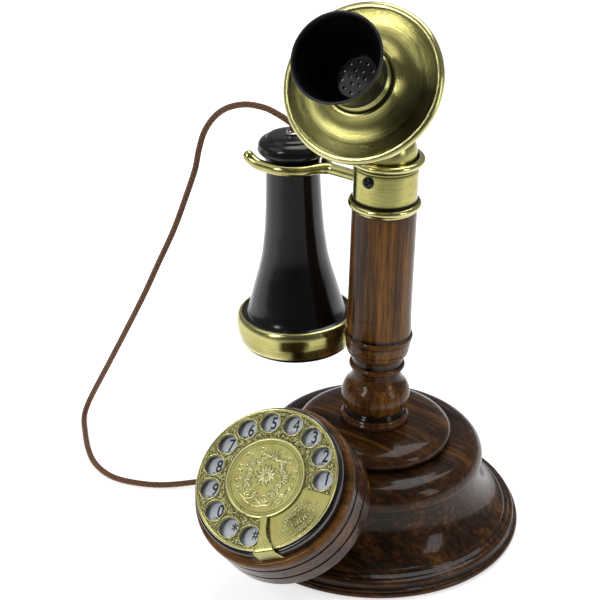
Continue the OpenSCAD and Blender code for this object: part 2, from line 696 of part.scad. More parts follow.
module dial_drum() {
    b = 1.3;
    color(wood_c) at_dial() difference() {
        turned(concat([[wire_bore, drum_floor], [drum_bore, drum_floor], [drum_bore, drum_face],
            [drum_r - 2.4, drum_face]],
            arc(drum_r - 2.2, drum_face - 2.2, 2.2, 85, 5, 5),
            [[drum_r, drum_face - 6.2], [drum_r - b, drum_face - 6.8], [drum_r - b, drum_face - 7.4],
             [drum_r, drum_face - 8.2], [drum_r, drum_face - 17.6], [drum_r - b, drum_face - 18.2],
                 [drum_r - b, drum_face - 18.8],
             [drum_r, drum_face - 19.6], [drum_r, drum_back + 2]],
            arc(drum_r - 2, drum_back + 2, 2, -5, -85, 4),
            [[tenon_r, drum_back], [tenon_r, drum_back - tenon_len],
                [wire_bore, drum_back - tenon_len]]), 120);
        thirds(drum_screw_r) rod(1.05, drum_face - 7, drum_face + 1, 24);
    }
}

module dial_ring() {
    color(black_c) at_dial() difference() {
        turned([[ledge_r, drum_face + 0.05], [ring_r, drum_face + 0.05], [ring_r, ring_top - 1],
            [ring_r - 0.5, ring_top - 0.2],
            [ring_r - 1.2, ring_top], [ring_in + 0.5, ring_top], [ring_in, ring_top - 0.5],
                [ring_in, plate_face - plate_disc_t - 0.05],
            [ledge_r, plate_face - plate_disc_t - 0.05]], 120);
        thirds(frame_r) rod(1.05, -14, drum_face + 3, 24);
        rotate([0, 0, stop_angle]) translate([ring_in + 1, 0, stop_screw_z]) rotate([0, 90, 0]) rod(0.62,
            0, 6, 20);
    }
}

module number_plate() { color([0.75, 0.8, 0.87]) at_dial() tube(ring_in - 0.1, 10.5,
    plate_face - plate_disc_t, plate_face, 96); }

module dial_frame() {
    color(steel_c) at_dial() difference() {
        union() {
            rod(frame_r - 0.6, frame_z, frame_z + frame_t, 80);
            tube(5, shaft_r + run, frame_z - 0.5, plate_face - 0.4, 48);
        }
        rod(shaft_r + run, -30, 0, 48);
        thirds(frame_r - 2.2) rod(1.1, -14, -8, 24);
        quarters(20) rod(3.2, -14, -8, 24);
    }
}

module dial_posts() {
    color(steel_c) at_dial() for (a = [60, 130, 300]) rotate([0, 0, a]) translate([post_r, 0, 0])
        rod(2.2, drum_floor + 0.05, frame_z - 0.05, 32);
}

module finger_wheel() {
    color(brass_c) at_dial() difference() {
        union() {
            rod(wheel_r - 0.3, -wheel_t, 0, 120);
            rotate_extrude($fn = 120) polygon([[wheel_r - 1.4, -0.1], [wheel_r - 0.9, 0.45],
                [wheel_r - 0.3, 0.45], [wheel_r, 0], [wheel_r, -wheel_t - 0.2],
                [wheel_r - 0.9, -wheel_t - 0.2], [wheel_r - 1.4, -wheel_t]]);
            for (k = [0 : hole_count - 1])
                rotate([0, 0, hole_first + k * hole_pitch]) translate([hole_circle, 0, 0])
                rod(hole_r + 0.55, -0.1, 0.4, 40);
            rod(hub_r, -3.2, -1.5, 48);
        }
        for (k = [0 : hole_count - 1])
            rotate([0, 0, hole_first + k * hole_pitch]) translate([hole_circle, 0, 0])
            rod(hole_r, -5, 2, 40);
        rod(shaft_r + 0.02, -5, 2, 48);
        thirds(hub_screw_r, 90) rod(1.05, -5, 2, 24);
    }
}

module medallion() {
    color(brass_c) at_dial() difference() {
        turned([[0, 0.9], [7.5, 0.9], [7.5, 0.05], [medal_r, 0.05], [medal_r, 1], [medal_r - 0.5, 1.6],
            [medal_r - 1.5, 1.6],
            [medal_r - 2, 1.1], [medal_r - 3.4, 1.05], [medal_r - 3.6, 1.35], [medal_r - 4, 1.35],
                [medal_r - 4.2, 1.05], [0, 1.3]], 96);
        rotate([0, 0, -92]) translate([medal_r - 0.4, -0.9, -1]) cube([2, 1.8, 4]);
    }
}

module wheel_screws() {
    color(steel_c) at_dial() thirds(hub_screw_r, 90) rod(1, -3, 0.1, 24);
}

module dial_shaft() {
    color(steel_c) at_dial() rod(shaft_r, bridge_z - 0.6, 0.4, 48);
}

module gear(teeth, thick) {
    pr = gear_module * teeth / 2;
    step = 360 / teeth;
    tooth = [[-0.30, -0.85], [-0.17, 0], [-0.08, 0.75], [0.08, 0.75], [0.17, 0], [0.30, -0.85]];
    linear_extrude(thick) polygon([for (k = [0 : teeth - 1]) for (c = tooth)
        polar(pr + gear_module * c[1], (k + c[0]) * step)]);
}

module main_gear() {
    color(brass_c) at_dial() difference() {
        translate([0, 0, gear_z]) rotate([0, 0, gov_angle]) gear(gear_teeth, gear_t);
        rod(shaft_r + 0.02, -30, 0, 48);
    }
}

module pulse_cam() {
    color([0.8, 0.78, 0.7]) at_dial() difference() {
        translate([0, 0, cam_z]) linear_extrude(1.8)
            polygon([for (k = [0 : 59]) polar(cam_r + (k % 5 < 2 && k < 50 ? 1.2 : 0), k * 6)]);
        rod(shaft_r + 0.02, -30, 0, 48);
    }
}

module pulse_contacts() {
    color(black_c) at_dial() rotate([0, 0, 20]) {
        translate([19, -4, -21]) cube([7, 8, 21 + frame_z - 0.05]);
        translate([11.2, -0.4, -18.6]) cube([8, 0.4, 1.2]);
        translate([13.2, 1.2, -18.6]) cube([6, 0.4, 1.2]);
    }
}

module dial_spring() {
    color(steel_c) at_dial() difference() {
        tube(10.5, shaft_r + 0.4, -25.5, -20.2, 56);
        tube(9.7, shaft_r + 1.2, -26, -24.9, 56);
    }
}

module governor() {
    color(brass_c) at_dial() rotate([0, 0, gov_angle]) translate([gear_centre, 0, 0]) {
        translate([0, 0, gear_z - 0.4]) rotate([0, 0, 180 + 180 / pinion_teeth]) gear(pinion_teeth,
            gear_t + 0.8);
        rod(1, bridge_z - 0.4, frame_z - 0.2, 32);
        rod(gov_r, -26, -19, 48);
    }
}

module governor_bridge() {
    color(steel_c) at_dial() difference() {
        translate([-gear_centre - 8, -12, drum_floor + 0.3]) cube([gear_centre + 15, 19, bridge_t + 0.3]);
        rod(shaft_r + run, -40, 0, 48);
        rotate([0, 0, gov_angle]) translate([gear_centre, 0, 0]) rod(1 + run, -40, 0, 32);
    }
}

// Sheet brass hook, screwed to the dial's rim, arching in over the wheel.
module finger_stop() {
    color(brass_c) at_dial() rotate([0, 0, stop_angle]) difference() {
        union() {
            translate([0, 0, 2.5]) linear_extrude(1) polygon([[medal_r, -2], [medal_r, 2],
                [wheel_r - 12, 1.6], [wheel_r - 6, 2.4],
                [wheel_r - 2, 4.4], [ring_r + 1.05, 6], [ring_r + 1.05, -5.6], [wheel_r - 4, -2.8],
                    [wheel_r - 12, -2]]);
            translate([ring_r + 0.05, -5.6, -7.6]) cube([1, 11.6, 10.6]);
        }
        translate([ring_in, 0, stop_screw_z]) rotate([0, 90, 0]) rod(0.62, 0, 8, 20);
    }
}

module stop_screw() {
    color(brass_c) at_dial() rotate([0, 0, stop_angle]) translate([ring_in + 1.2, 0, stop_screw_z])
        rotate([0, 90, 0]) {
        rod(0.6, 0, ring_r - ring_in, 20);
        translate([0, 0, ring_r - ring_in - 0.1]) cylinder(r1 = 1.5, r2 = 1.1, h = 0.8, $fn = 32);
    }
}

felt_pad();
cover_plate();
cover_screws();
base_shell();
ballast();
base_plinth();
column();
tie_tube();
tie_nuts();
circuit_board();
board_parts();
sounder();
line_jack();
cord_grommet();
receiver_cord();
collar();
collar_screws();
hook_bracket();
hook_pin();
hook_spring();
hook_switch();
switch_plunger();
hook_lever();
neck();
neck_nut();
tilt_screw();
transmitter_cup();
cup_screws();
dish();
mic_capsule();
mic_grille();
mouthpiece();
receiver_shell();
receiver_cap();
receiver_ferrule();
ear_band();
ear_cap();
receiver_driver();
receiver_diaphragm();
dial_drum();
dial_ring();
number_plate();
dial_frame();
dial_posts();
finger_stop();
stop_screw();
finger_wheel();
medallion();
wheel_screws();
dial_shaft();
main_gear();
pulse_cam();
pulse_contacts();
dial_spring();
governor();
governor_bridge();
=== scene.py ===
import json
import math
import random

import bpy
from mathutils import Matrix, Vector

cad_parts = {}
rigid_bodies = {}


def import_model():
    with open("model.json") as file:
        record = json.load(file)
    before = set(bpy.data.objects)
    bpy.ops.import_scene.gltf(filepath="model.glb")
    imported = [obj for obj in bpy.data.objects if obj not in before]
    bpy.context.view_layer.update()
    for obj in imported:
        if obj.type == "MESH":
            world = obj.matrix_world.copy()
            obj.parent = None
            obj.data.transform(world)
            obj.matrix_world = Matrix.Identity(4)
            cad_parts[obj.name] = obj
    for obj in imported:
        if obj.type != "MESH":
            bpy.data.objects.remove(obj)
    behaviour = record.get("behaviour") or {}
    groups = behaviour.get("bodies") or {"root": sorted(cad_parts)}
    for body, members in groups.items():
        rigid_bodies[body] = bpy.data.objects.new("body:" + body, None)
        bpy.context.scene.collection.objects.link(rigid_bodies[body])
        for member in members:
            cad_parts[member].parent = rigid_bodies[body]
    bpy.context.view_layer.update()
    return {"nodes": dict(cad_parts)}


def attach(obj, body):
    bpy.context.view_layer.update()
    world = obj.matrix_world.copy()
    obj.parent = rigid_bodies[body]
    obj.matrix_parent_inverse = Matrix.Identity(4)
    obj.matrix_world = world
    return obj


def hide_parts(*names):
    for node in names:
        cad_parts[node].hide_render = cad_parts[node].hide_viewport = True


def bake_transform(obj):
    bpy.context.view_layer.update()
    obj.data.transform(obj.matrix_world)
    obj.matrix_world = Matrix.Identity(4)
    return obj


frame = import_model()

# ---------------------------------------------------------------------------
# Studio. A pale table lit from below except at the front, a grey tent, and four
# soft boxes: a tall one in front, wide ones above and at the left, one at the right.
# ---------------------------------------------------------------------------
camera_data = bpy.data.cameras.new("studio_camera")
camera_data.lens = 96
camera_data.sensor_width = 36
camera_data.clip_start = 0.05
camera_data.clip_end = 50
camera = bpy.data.objects.new("studio_camera", camera_data)
bpy.context.scene.collection.objects.link(camera)
bpy.context.scene.camera = camera
camera_spot = Vector((0.40762, -0.67839, 0.55063))
aim = Vector((-0.4990, 0.7337, -0.4611)).normalized()
roll = math.radians(1.28)
level = aim.cross(Vector((0, 0, 1))).normalized()
right = level * math.cos(roll) + level.cross(aim) * math.sin(roll)
facing = Matrix((right, right.cross(aim), -aim)).transposed()
camera.matrix_world = Matrix.Translation(camera_spot) @ facing.to_4x4()


def put(tree, kind, feed=None, **settings):
    """A node in a tree. Its sockets take values or other nodes' outputs. Gives its output."""
    made = tree.nodes.new("ShaderNode" + kind)
    for key, value in settings.items():
        setattr(made, key, value)
    first, result = 0, 0
    if kind == "Mix":
        result = ("FLOAT", "VECTOR", "RGBA").index(made.data_type)
        first = (2, 4, 6)[result]
    for key, value in (feed or {}).items():
        if key in ("A", "B"):
            key = first + "AB".index(key)
        socket = made.inputs[key]
        if isinstance(value, bpy.types.NodeSocket):
            tree.links.new(value, socket)
        else:
            socket.default_value = value
    return made.outputs[result]


def soft_box(name, spot, target, wide, high, power):
    """A rectangular soft box hung at a point and turned towards another."""
    data = bpy.data.lights.new(name, "AREA")
    data.shape = "RECTANGLE"
    data.size = wide
    data.size_y = high
    data.energy = power
    lamp = bpy.data.objects.new(name, data)
    bpy.context.scene.collection.objects.link(lamp)
    lamp.location = spot
    lamp.rotation_mode = "QUATERNION"
    lamp.rotation_quaternion = (Vector(target) - Vector(spot)).to_track_quat("-Z", "Y")


soft_box("key_box", (-0.35, -1.35, 1.05), (0, 0, 0.12), 0.30, 0.8, 7)
soft_box("side_box", (1.5, 0.1, 0.8), (0, 0, 0.12), 0.4, 0.9, 4)
soft_box("top_box", (-0.15, 0.6, 1.55), (0, 0, 0), 1.1, 1.1, 13)
soft_box("left_box", (-0.85, -0.6, 1.4), (0, -0.1, 0.08), 0.9, 0.9, 2.2)

tent = bpy.data.worlds.new("tent")
bpy.context.scene.world = tent
tent.use_nodes = True
tree = tent.node_tree
side_grey, front_grey = (0.26, 0.26, 0.27), (0.07, 0.07, 0.075)
seen = put(tree, "TexCoord").node.outputs["Generated"]
front = put(tree, "VectorMath", {0: seen, 1: (0.45, -0.85, 0.2)}, operation="DOT_PRODUCT")
cloth = put(tree, "ValToRGB", {"Fac": front.node.outputs["Value"]})
for stop, position, grey in zip(cloth.node.color_ramp.elements, (0.0, 0.95), (side_grey, front_grey)):
    stop.position = position
    stop.color = (*grey, 1)
tree.links.new(cloth, tree.nodes["Background"].inputs["Color"])
tree.nodes["Background"].inputs["Strength"].default_value = 1.0

table_mesh = bpy.data.meshes.new("table")
reach = 6.0
table_mesh.from_pydata(
    [(-reach, -reach, 0), (reach, -reach, 0), (reach, reach, 0), (-reach, reach, 0)],
    [],
    [(0, 1, 2, 3)],
)
table = bpy.data.objects.new("table", table_mesh)
bpy.context.scene.collection.objects.link(table)
paper = bpy.data.materials.new("pale_paper")
paper.use_nodes = True
tree = paper.node_tree
sheet = tree.nodes["Principled BSDF"].inputs
sheet["Roughness"].default_value = 0.9
sheet["Specular IOR Level"].default_value = 0.1
sheet["Emission Color"].default_value = (1, 1, 1, 1)
spot = put(tree, "TexCoord").node.outputs["Object"]
forward = put(tree, "VectorMath", {0: spot, 1: (0.56, -0.83, 0)}, operation="DOT_PRODUCT")
under_it = 0.15
fades = (("Base Color", 0.6, 0.80, 0.60), ("Emission Strength", 0.5, 0.66, 0.1))
for socket, fades_by, most, least in fades:
    feed = {"Value": forward.node.outputs["Value"], 1: under_it, 2: fades_by, 3: most, 4: least}
    tree.links.new(put(tree, "MapRange", feed, interpolation_type="SMOOTHSTEP"), sheet[socket])
table_mesh.materials.append(paper)
bpy.context.scene.view_settings.view_transform = "Standard"

# ---------------------------------------------------------------------------
# Receiver cord. A limp braided cotton cord, 3.5 mm across, held in the metal
# ferrule on the receiver's cap and in the grommet low on the base. It falls
# in one slant to the table and runs round on it to the grommet.
# ---------------------------------------------------------------------------
mm = 0.001
hang = math.radians(2.8)
hook_reach = 60.9
cap_seat = 214.2
cord_across = 3.5
ferrule_top = 13.6
gland_angle = math.radians(202)
gland_reach = 90.2
up_receiver = Vector((-math.sin(hang), 0, math.cos(hang)))
ferrule_exit = Vector((-hook_reach, 0, cap_seat)) + up_receiver * ferrule_top
out_of_base = Vector((math.cos(gland_angle), math.sin(gland_angle), 0))
gland_exit = out_of_base * gland_reach + Vector((0, 0, 7))
leave, lie_down = 3, Vector((0, -1.2, -3))
route = [ferrule_exit, ferrule_exit + up_receiver * leave]
route += [Vector(p) for p in (
    (-65.5, 0, 232.5), (-72, 0, 234.5), (-80.5, 0, 236), (-92.5, -1, 235.5), (-104.5, -2, 231),
    (-113, -3, 224), (-119.5, -4, 214), (-123, -5, 202), (-126, -5, 189), (-132, -6, 171),
    (-141, -7, 147), (-152, -9, 122), (-162, -11, 99), (-175, -13, 72), (-190, -15, 42),
    (-202, -17, 18), (-205.5, -20, 7.5), (-203, -26, 2.6), (-193, -36.5, 2.1), (-177, -51.5, 2),
    (-161.5, -62, 2), (-144, -66.5, 2), (-127, -62.5, 2), (-112, -54, 2.2),
)]
route += [gland_exit + out_of_base * 12 + lie_down, gland_exit + out_of_base * leave, gland_exit]


def through(points, steps):
    """A smooth line through points, as a draughtsman's spline gives it."""
    line = []
    for i in range(len(points) - 1):
        a, b = points[max(i - 1, 0)], points[i]
        c, d = points[i + 1], points[min(i + 2, len(points) - 1)]
        for k in range(steps):
            t = k / steps
            bend = (2 * b) + (c - a) * t + (2 * a - 5 * b + 4 * c - d) * t * t
            line.append((bend + (3 * b - a - 3 * c + d) * t ** 3) / 2)
    return line + [points[-1]]


def keep(name, mesh, finish, crease=32, place=None):
    """Makes the piece's object, shades it smooth up to its creases and gives it its finish."""
    for face in mesh.polygons:
        face.use_smooth = True
    mesh.set_sharp_from_angle(angle=math.radians(crease))
    mesh.materials.clear()
    mesh.materials.append(finish)
    piece = bpy.data.objects.new(name, mesh)
    bpy.context.scene.collection.objects.link(piece)
    if place is not None:
        piece.matrix_world = place
    return piece


def hose(name, line, radius, sides, finish, taper=None):
    """A round cord or rod along a line in millimetres. Its UV runs round, and along in metres."""
    points, faces, uvs = [], [], []
    side = (line[1] - line[0]).cross(Vector((0.1, 1, 0.05))).normalized()
    length = 0.0
    runs = []
    for i, at in enumerate(line):
        ahead = (line[min(i + 1, len(line) - 1)] - line[max(i - 1, 0)]).normalized()
        side = (side - ahead * side.dot(ahead)).normalized()
        other = ahead.cross(side)
        if i:
            length += (at - line[i - 1]).length * mm
        runs.append(length)
        thick = radius * (taper(i / (len(line) - 1)) if taper else 1)
        for k in range(sides):
            turn = math.tau * k / sides
            points.append((at + (side * math.cos(turn) + other * math.sin(turn)) * thick) * mm)
    for i in range(len(line) - 1):
        for k in range(sides):
            k1 = (k + 1) % sides
            faces.append((i * sides + k, i * sides + k1, (i + 1) * sides + k1, (i + 1) * sides + k))
            uvs += [(k / sides, runs[i]), ((k + 1) / sides, runs[i])]
            uvs += [((k + 1) / sides, runs[i + 1]), (k / sides, runs[i + 1])]
    last = (len(line) - 1) * sides
    faces.append(tuple(range(sides - 1, -1, -1)))
    faces.append(tuple(range(last, last + sides)))
    uvs += [(0.5, 0)] * sides + [(0.5, runs[-1])] * sides
    mesh = bpy.data.meshes.new(name)
    mesh.from_pydata(points, [], faces)
    layer = mesh.uv_layers.new(name="run")
    for i, uv in enumerate(uvs):
        layer.data[i].uv = uv
    return keep(name, mesh, finish), length


def finish_of(name, **fixed):
    """A new surface finish. Gives the material, its node tree and its shader's sockets."""
    material = bpy.data.materials.new(name)
    material.use_nodes = True
    sockets = material.node_tree.nodes["Principled BSDF"].inputs
    for key, value in fixed.items():
        sockets[key.replace("_", " ")].default_value = value
    return material, material.node_tree, sockets


def surface(tree, skin, colour, dull=None, bumps=None):
    """Feeds a shader the colour, the dullness and the normals that change over the piece."""
    for socket, value in (("Base Color", colour), ("Roughness", dull), ("Normal", bumps)):
        if value is not None:
            tree.links.new(value, skin[socket])


def calc(tree, operation, *values, clamp=False):
    """One step of arithmetic on values that change over the surface."""
    feed = dict(enumerate(values))
    return put(tree, "Math", feed, operation=operation, use_clamp=clamp)


def tint(tree, amount, first, second, way="MIX"):
    """Mixes two colours by an amount."""
    feed = {"Factor": amount, "A": first, "B": second}
    return put(tree, "Mix", feed, data_type="RGBA", blend_type=way)


def shades(tree, value, *steps):
    """Turns a value into colours by steps of (position, red, green, blue)."""
    made = put(tree, "ValToRGB", {"Fac": value})
    elements = made.node.color_ramp.elements
    while len(elements) < len(steps):
        elements.new(0.5)
    for element, step in zip(elements, steps):
        element.position = step[0]
        element.color = (*step[1:], 1)
    return made


def mottle(tree, place, stretch, detail=4.0, rough=0.55, warp=0.0):
    """Cloudy variation of a surface, stretched as the cells per metre of each direction say."""
    spread = put(tree, "Mapping", {"Vector": place, "Scale": stretch})
    feed = {"Vector": spread, "Scale": 1.0, "Detail": detail, "Roughness": rough, "Distortion": warp}
    return put(tree, "TexNoise", feed)


def relief(tree, height, depth, strength=1.0, under=None):
    """Turns a height into surface normals. The depth is in metres."""
    feed = {"Height": height, "Distance": depth, "Strength": strength}
    if under is not None:
        feed["Normal"] = under
    return put(tree, "Bump", feed)


def where(tree, kind="Object"):
    """A place on the piece, in its own frame."""
    return put(tree, "TexCoord").node.outputs[kind]


braid, tree, skin = finish_of(
    "braided_cotton", Roughness=0.8, Sheen_Weight=0.15, Sheen_Roughness=0.5,
)
strands = 6
pitch = 150.0
apart = put(tree, "SeparateXYZ", {0: where(tree, "UV")})
around, along = apart, apart.node.outputs["Y"]
ways = []
for hand in (1, -1):
    climb = calc(tree, "MULTIPLY", along, pitch * hand * 2)
    ways.append(calc(tree, "MULTIPLY_ADD", around, float(strands), climb))
ridges = [calc(tree, "ABSOLUTE", calc(tree, "SINE", calc(tree, "MULTIPLY", w, math.pi))) for w in ways]
steps = [calc(tree, "FLOOR", w) for w in ways]
over = calc(tree, "PINGPONG", calc(tree, "ADD", steps[0], steps[1]), 1.0)
height = put(tree, "Mix", {"Factor": over, "A": ridges[0], "B": ridges[1]})
fuzz = mottle(tree, where(tree), (2600, 2600, 2600), 3.0)
patch = mottle(tree, where(tree), (160, 160, 160), 2.0)
# The yarn goes near black down in the gaps between the strands: painted shade where the strands dip under
# each other.
yarn_and_gap_shade = shades(
    tree, height, (0.0, 0.022, 0.009, 0.003), (0.55, 0.150, 0.056, 0.017), (1.0, 0.27, 0.115, 0.040),
)
yarn_and_gap_shade = tint(tree, calc(tree, "MULTIPLY", patch, 0.5), yarn_and_gap_shade, (0.105, 0.038, 0.011, 1))
yarn_and_gap_shade = tint(tree, 0.35, yarn_and_gap_shade, put(tree, "ValToRGB", {"Fac": fuzz}), "OVERLAY")
surface(tree, skin, yarn_and_gap_shade, None, relief(tree, calc(tree, "MULTIPLY_ADD", fuzz, 0.25, height), 0.0005))

cord_line = through(route, 16)
cord, cord_length = hose("cord_braid", cord_line, cord_across / 2, 20, braid)
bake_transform(cord)
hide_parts("receiver_cord")

# ---------------------------------------------------------------------------
# Foot. A thick green felt disc glued to a steel cover plate, which four screws
# hold to the wood. Nothing of it shows until the telephone is turned over.
# ---------------------------------------------------------------------------
felt, tree, skin = finish_of("wool_felt", Roughness=0.95, Sheen_Weight=0.5)
nap = mottle(tree, where(tree), (1500, 1500, 1500), 6.0, 0.7)
clouds = mottle(tree, where(tree), (60, 60, 60), 3.0)
dyed = shades(tree, clouds, (0.3, 0.010, 0.026, 0.014), (0.7, 0.020, 0.050, 0.027))
mixed = tint(tree, 0.4, dyed, put(tree, "ValToRGB", {"Fac": nap}), "SOFT_LIGHT")
surface(tree, skin, mixed, None, relief(tree, nap, 0.0006))


def dress(node, finish):
    """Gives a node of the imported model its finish."""
    held = frame["nodes"][node]
    held.data.materials.clear()
    held.data.materials.append(finish)


def effect(name, takes, gives):
    """An empty node group with named sockets. Gives the group, what comes in and what goes out."""
    group = bpy.data.node_groups.new(name, "ShaderNodeTree")
    for label, kind, value in takes:
        socket = group.interface.new_socket(label, in_out="INPUT", socket_type="NodeSocket" + kind)
        if value is not None:
            socket.default_value = value
    for label, kind in gives:
        group.interface.new_socket(label, in_out="OUTPUT", socket_type="NodeSocket" + kind)
    return group, group.nodes.new("NodeGroupInput").outputs, group.nodes.new("NodeGroupOutput").inputs


def use(tree, group, feed):
    """Places an effect in a material and gives its outputs."""
    made = tree.nodes.new("ShaderNodeGroup")
    made.node_tree = group
    for key, value in feed.items():
        if isinstance(value, bpy.types.NodeSocket):
            tree.links.new(value, made.inputs[key])
        else:
            made.inputs[key].default_value = value
    return made.outputs


# Plain worked metal: faint draw lines, and duller patches of handling.
worked, given, out = effect(
    "worked_metal",
    [("Place", "Vector", None), ("Lines", "Vector", None), ("Metal", "Color", None),
     ("Shade", "Color", None), ("Dullness", "Float", 0.25)],
    [("Colour", "Color"), ("Roughness", "Float"), ("Height", "Float")],
)
lines = mottle(worked, given["Place"], given["Lines"], 5.0, 0.65)
patches = mottle(worked, given["Place"], (70, 70, 70), 3.0)
share = calc(worked, "MULTIPLY_ADD", lines, 0.5, calc(worked, "MULTIPLY", patches, 0.4))
worked.links.new(tint(worked, share, given["Shade"], given["Metal"]), out["Colour"])
worked.links.new(calc(worked, "MULTIPLY_ADD", patches, 0.25, given["Dullness"]), out["Roughness"])
worked.links.new(lines, out["Height"])


def metal_finish(name, colour, dull, drawn=(900, 900, 60)):
    """Plain worked metal of a colour, drawn or cast as the cells per metre of its lines say."""
    material, tree, skin = finish_of(name, Metallic=1.0)
    shade = (*(c * 0.55 for c in colour), 1)
    made = use(tree, worked, {
        "Place": where(tree), "Lines": drawn, "Metal": (*colour, 1), "Shade": shade, "Dullness": dull,
    })
    surface(tree, skin, made["Colour"], made["Roughness"], relief(tree, made["Height"], 0.00008))
    return material


dress("felt_pad", felt)
zinc = metal_finish("zinc_steel", (0.62, 0.62, 0.60), 0.25)
iron = metal_finish("cast_iron", (0.10, 0.10, 0.105), 0.45, (300, 300, 300))
for node in ("cover_plate", "cover_screws", "tie_tube", "tie_nuts"):
    dress(node, zinc)
dress("ballast", iron)

# ---------------------------------------------------------------------------
# Base. A bell-shaped walnut turning, hollow under its shoulder, stained dark
# and lacquered, with the grain lying across it. A slot at the back takes the
# line socket, and a bore in front takes the tenon of the dial drum.
# ---------------------------------------------------------------------------
foot_r = 87.0
base_top = 55.3
shoulder_round = 10.4
shoulder_r = foot_r - 33.8
shoulder_z = base_top - shoulder_round - 0.5
core_r = 5.2


def bow(cx, cy, radius, start, end, steps=14):
    """Points round part of a circle, from one angle to another in degrees."""
    turns = [math.radians(start + (end - start) * i / steps) for i in range(steps + 1)]
    return [(cx + radius * math.cos(t), cy + radius * math.sin(t)) for t in turns]


def noting(name, points, faces, **notes):
    """A mesh whose points each carry some named values, for its finish to read."""
    mesh = bpy.data.meshes.new(name)
    mesh.from_pydata(points, [], faces)
    for label, values in notes.items():
        mesh.attributes.new(label, "FLOAT", "POINT").data.foreach_set("value", values)
    return mesh


def turning(name, outline, finish, place=None, round_by=160, crease=32, closed=True, step=1.3):
    """Turns an outline of (radius, height) in millimetres about the piece's own upright axis.
    Each point keeps how deep it lies in a hollow and how far it is along the outline."""
    fine = []
    pairs = list(zip(outline, outline[1:] + outline[:1])) if closed else list(zip(outline, outline[1:]))
    for (r0, z0), (r1, z1) in pairs:
        parts = max(1, round(math.hypot(r1 - r0, z1 - z0) / step))
        fine += [(r0 + (r1 - r0) * k / parts, z0 + (z1 - z0) * k / parts) for k in range(parts)]
    if not closed:
        fine.append(outline[-1])
    count = len(fine)
    spots = [Vector(p) for p in fine]
    runs = [0.0]
    for i in range(1, count):
        runs.append(runs[-1] + (spots[i] - spots[i - 1]).length)
    hollows = []
    for i in range(count):
        total, weight = Vector((0, 0)), 0.0
        for k in range(-6, 7):
            j = (i + k) % count if closed else min(max(i + k, 0), count - 1)
            near = math.exp(-((spots[j] - spots[i]).length / 2.2) ** 2)
            total += spots[j] * near
            weight += near
        before, after = spots[(i - 1) % count], spots[(i + 1) % count]
        out = Vector(((after - before).y, -(after - before).x))
        out = out.normalized() if out.length > 1e-6 else Vector((0, 0))
        hollows.append((total / weight - spots[i]).dot(out))
    area = sum(a.x * b.y - b.x * a.y for a, b in zip(spots, spots[1:] + spots[:1]))
    hollows = [math.copysign(1, area) * h for h in hollows]
    points, faces, rows, deep, lies = [], [], [], [], []
    for (r, z), hollow, run in zip(fine, hollows, runs):
        around = 1 if r < 0.01 else round_by
        rows.append(range(len(points), len(points) + around))
        for k in range(around):
            turn = math.tau * k / round_by
            points.append((r * math.cos(turn) * mm, r * math.sin(turn) * mm, z * mm))
        deep += [hollow] * around
        lies += [run * mm] * around
    links = list(zip(rows, rows[1:] + rows[:1])) if closed else list(zip(rows, rows[1:]))
    for low, high in links:
        if len(low) == 1 and len(high) == 1:
            continue
        for k in range(round_by):
            k1 = (k + 1) % round_by
            if len(low) == 1:
                corners = (low[0], high[k1], high[k])
            elif len(high) == 1:
                corners = (low[k], low[k1], high[0])
            else:
                corners = (low[k], low[k1], high[k1], high[k])
            faces.append(corners if area > 0 else corners[::-1])
    return keep(name, noting(name, points, faces, hollow=deep, run=lies), finish, crease, place)


def carve(piece, cutters):
    """Cuts solid boxes or rods out of a piece, as a chisel or a drill would."""
    for cutter in cutters:
        tool = piece.modifiers.new("cut", "BOOLEAN")
        tool.operation = "DIFFERENCE"
        tool.solver = "EXACT"
        tool.object = cutter
    seen_through = bpy.context.evaluated_depsgraph_get()
    cut = bpy.data.meshes.new_from_object(piece.evaluated_get(seen_through))
    piece.modifiers.clear()
    piece.data = cut
    for cutter in cutters:
        bpy.data.objects.remove(cutter)


def ring(radius, at=(0, 0), steps=64):
    """A circle as a loop of points."""
    turns = [math.tau * k / steps for k in range(steps)]
    return [(at[0] + radius * math.cos(t), at[1] + radius * math.sin(t)) for t in turns]


def cutter(corners, faces, place):
    """A closed solid to cut with, from its corners in millimetres."""
    mesh = bpy.data.meshes.new("cutter")
    mesh.from_pydata([(x * mm, y * mm, z * mm) for x, y, z in corners], [], faces)
    made = bpy.data.objects.new("cutter", mesh)
    bpy.context.scene.collection.objects.link(made)
    made.matrix_world = place
    return made


def block(low, high, place=Matrix.Identity(4)):
    """A box between two corners, for cutting with."""
    corners = [(x, y, z) for z in (low[2], high[2]) for y in (low[1], high[1]) for x in (low[0], high[0])]
    faces = [(0, 2, 3, 1), (4, 5, 7, 6), (0, 1, 5, 4), (2, 6, 7, 3), (0, 4, 6, 2), (1, 3, 7, 5)]
    return cutter(corners, faces, place)


def drill(radius, low, high, place, sides=16):
    """A round cutter along the place's upright axis."""
    corners = [(x, y, z) for z in (low, high) for x, y in ring(radius, steps=sides)]
    faces = [tuple(range(sides - 1, -1, -1)), tuple(range(sides, 2 * sides))]
    faces += [(k, (k + 1) % sides, (k + 1) % sides + sides, k + sides) for k in range(sides)]
    return cutter(corners, faces, place)


def noted(tree, name):
    """A value that the turning noted at each point."""
    return put(tree, "Attribute", attribute_name=name).node.outputs["Fac"]


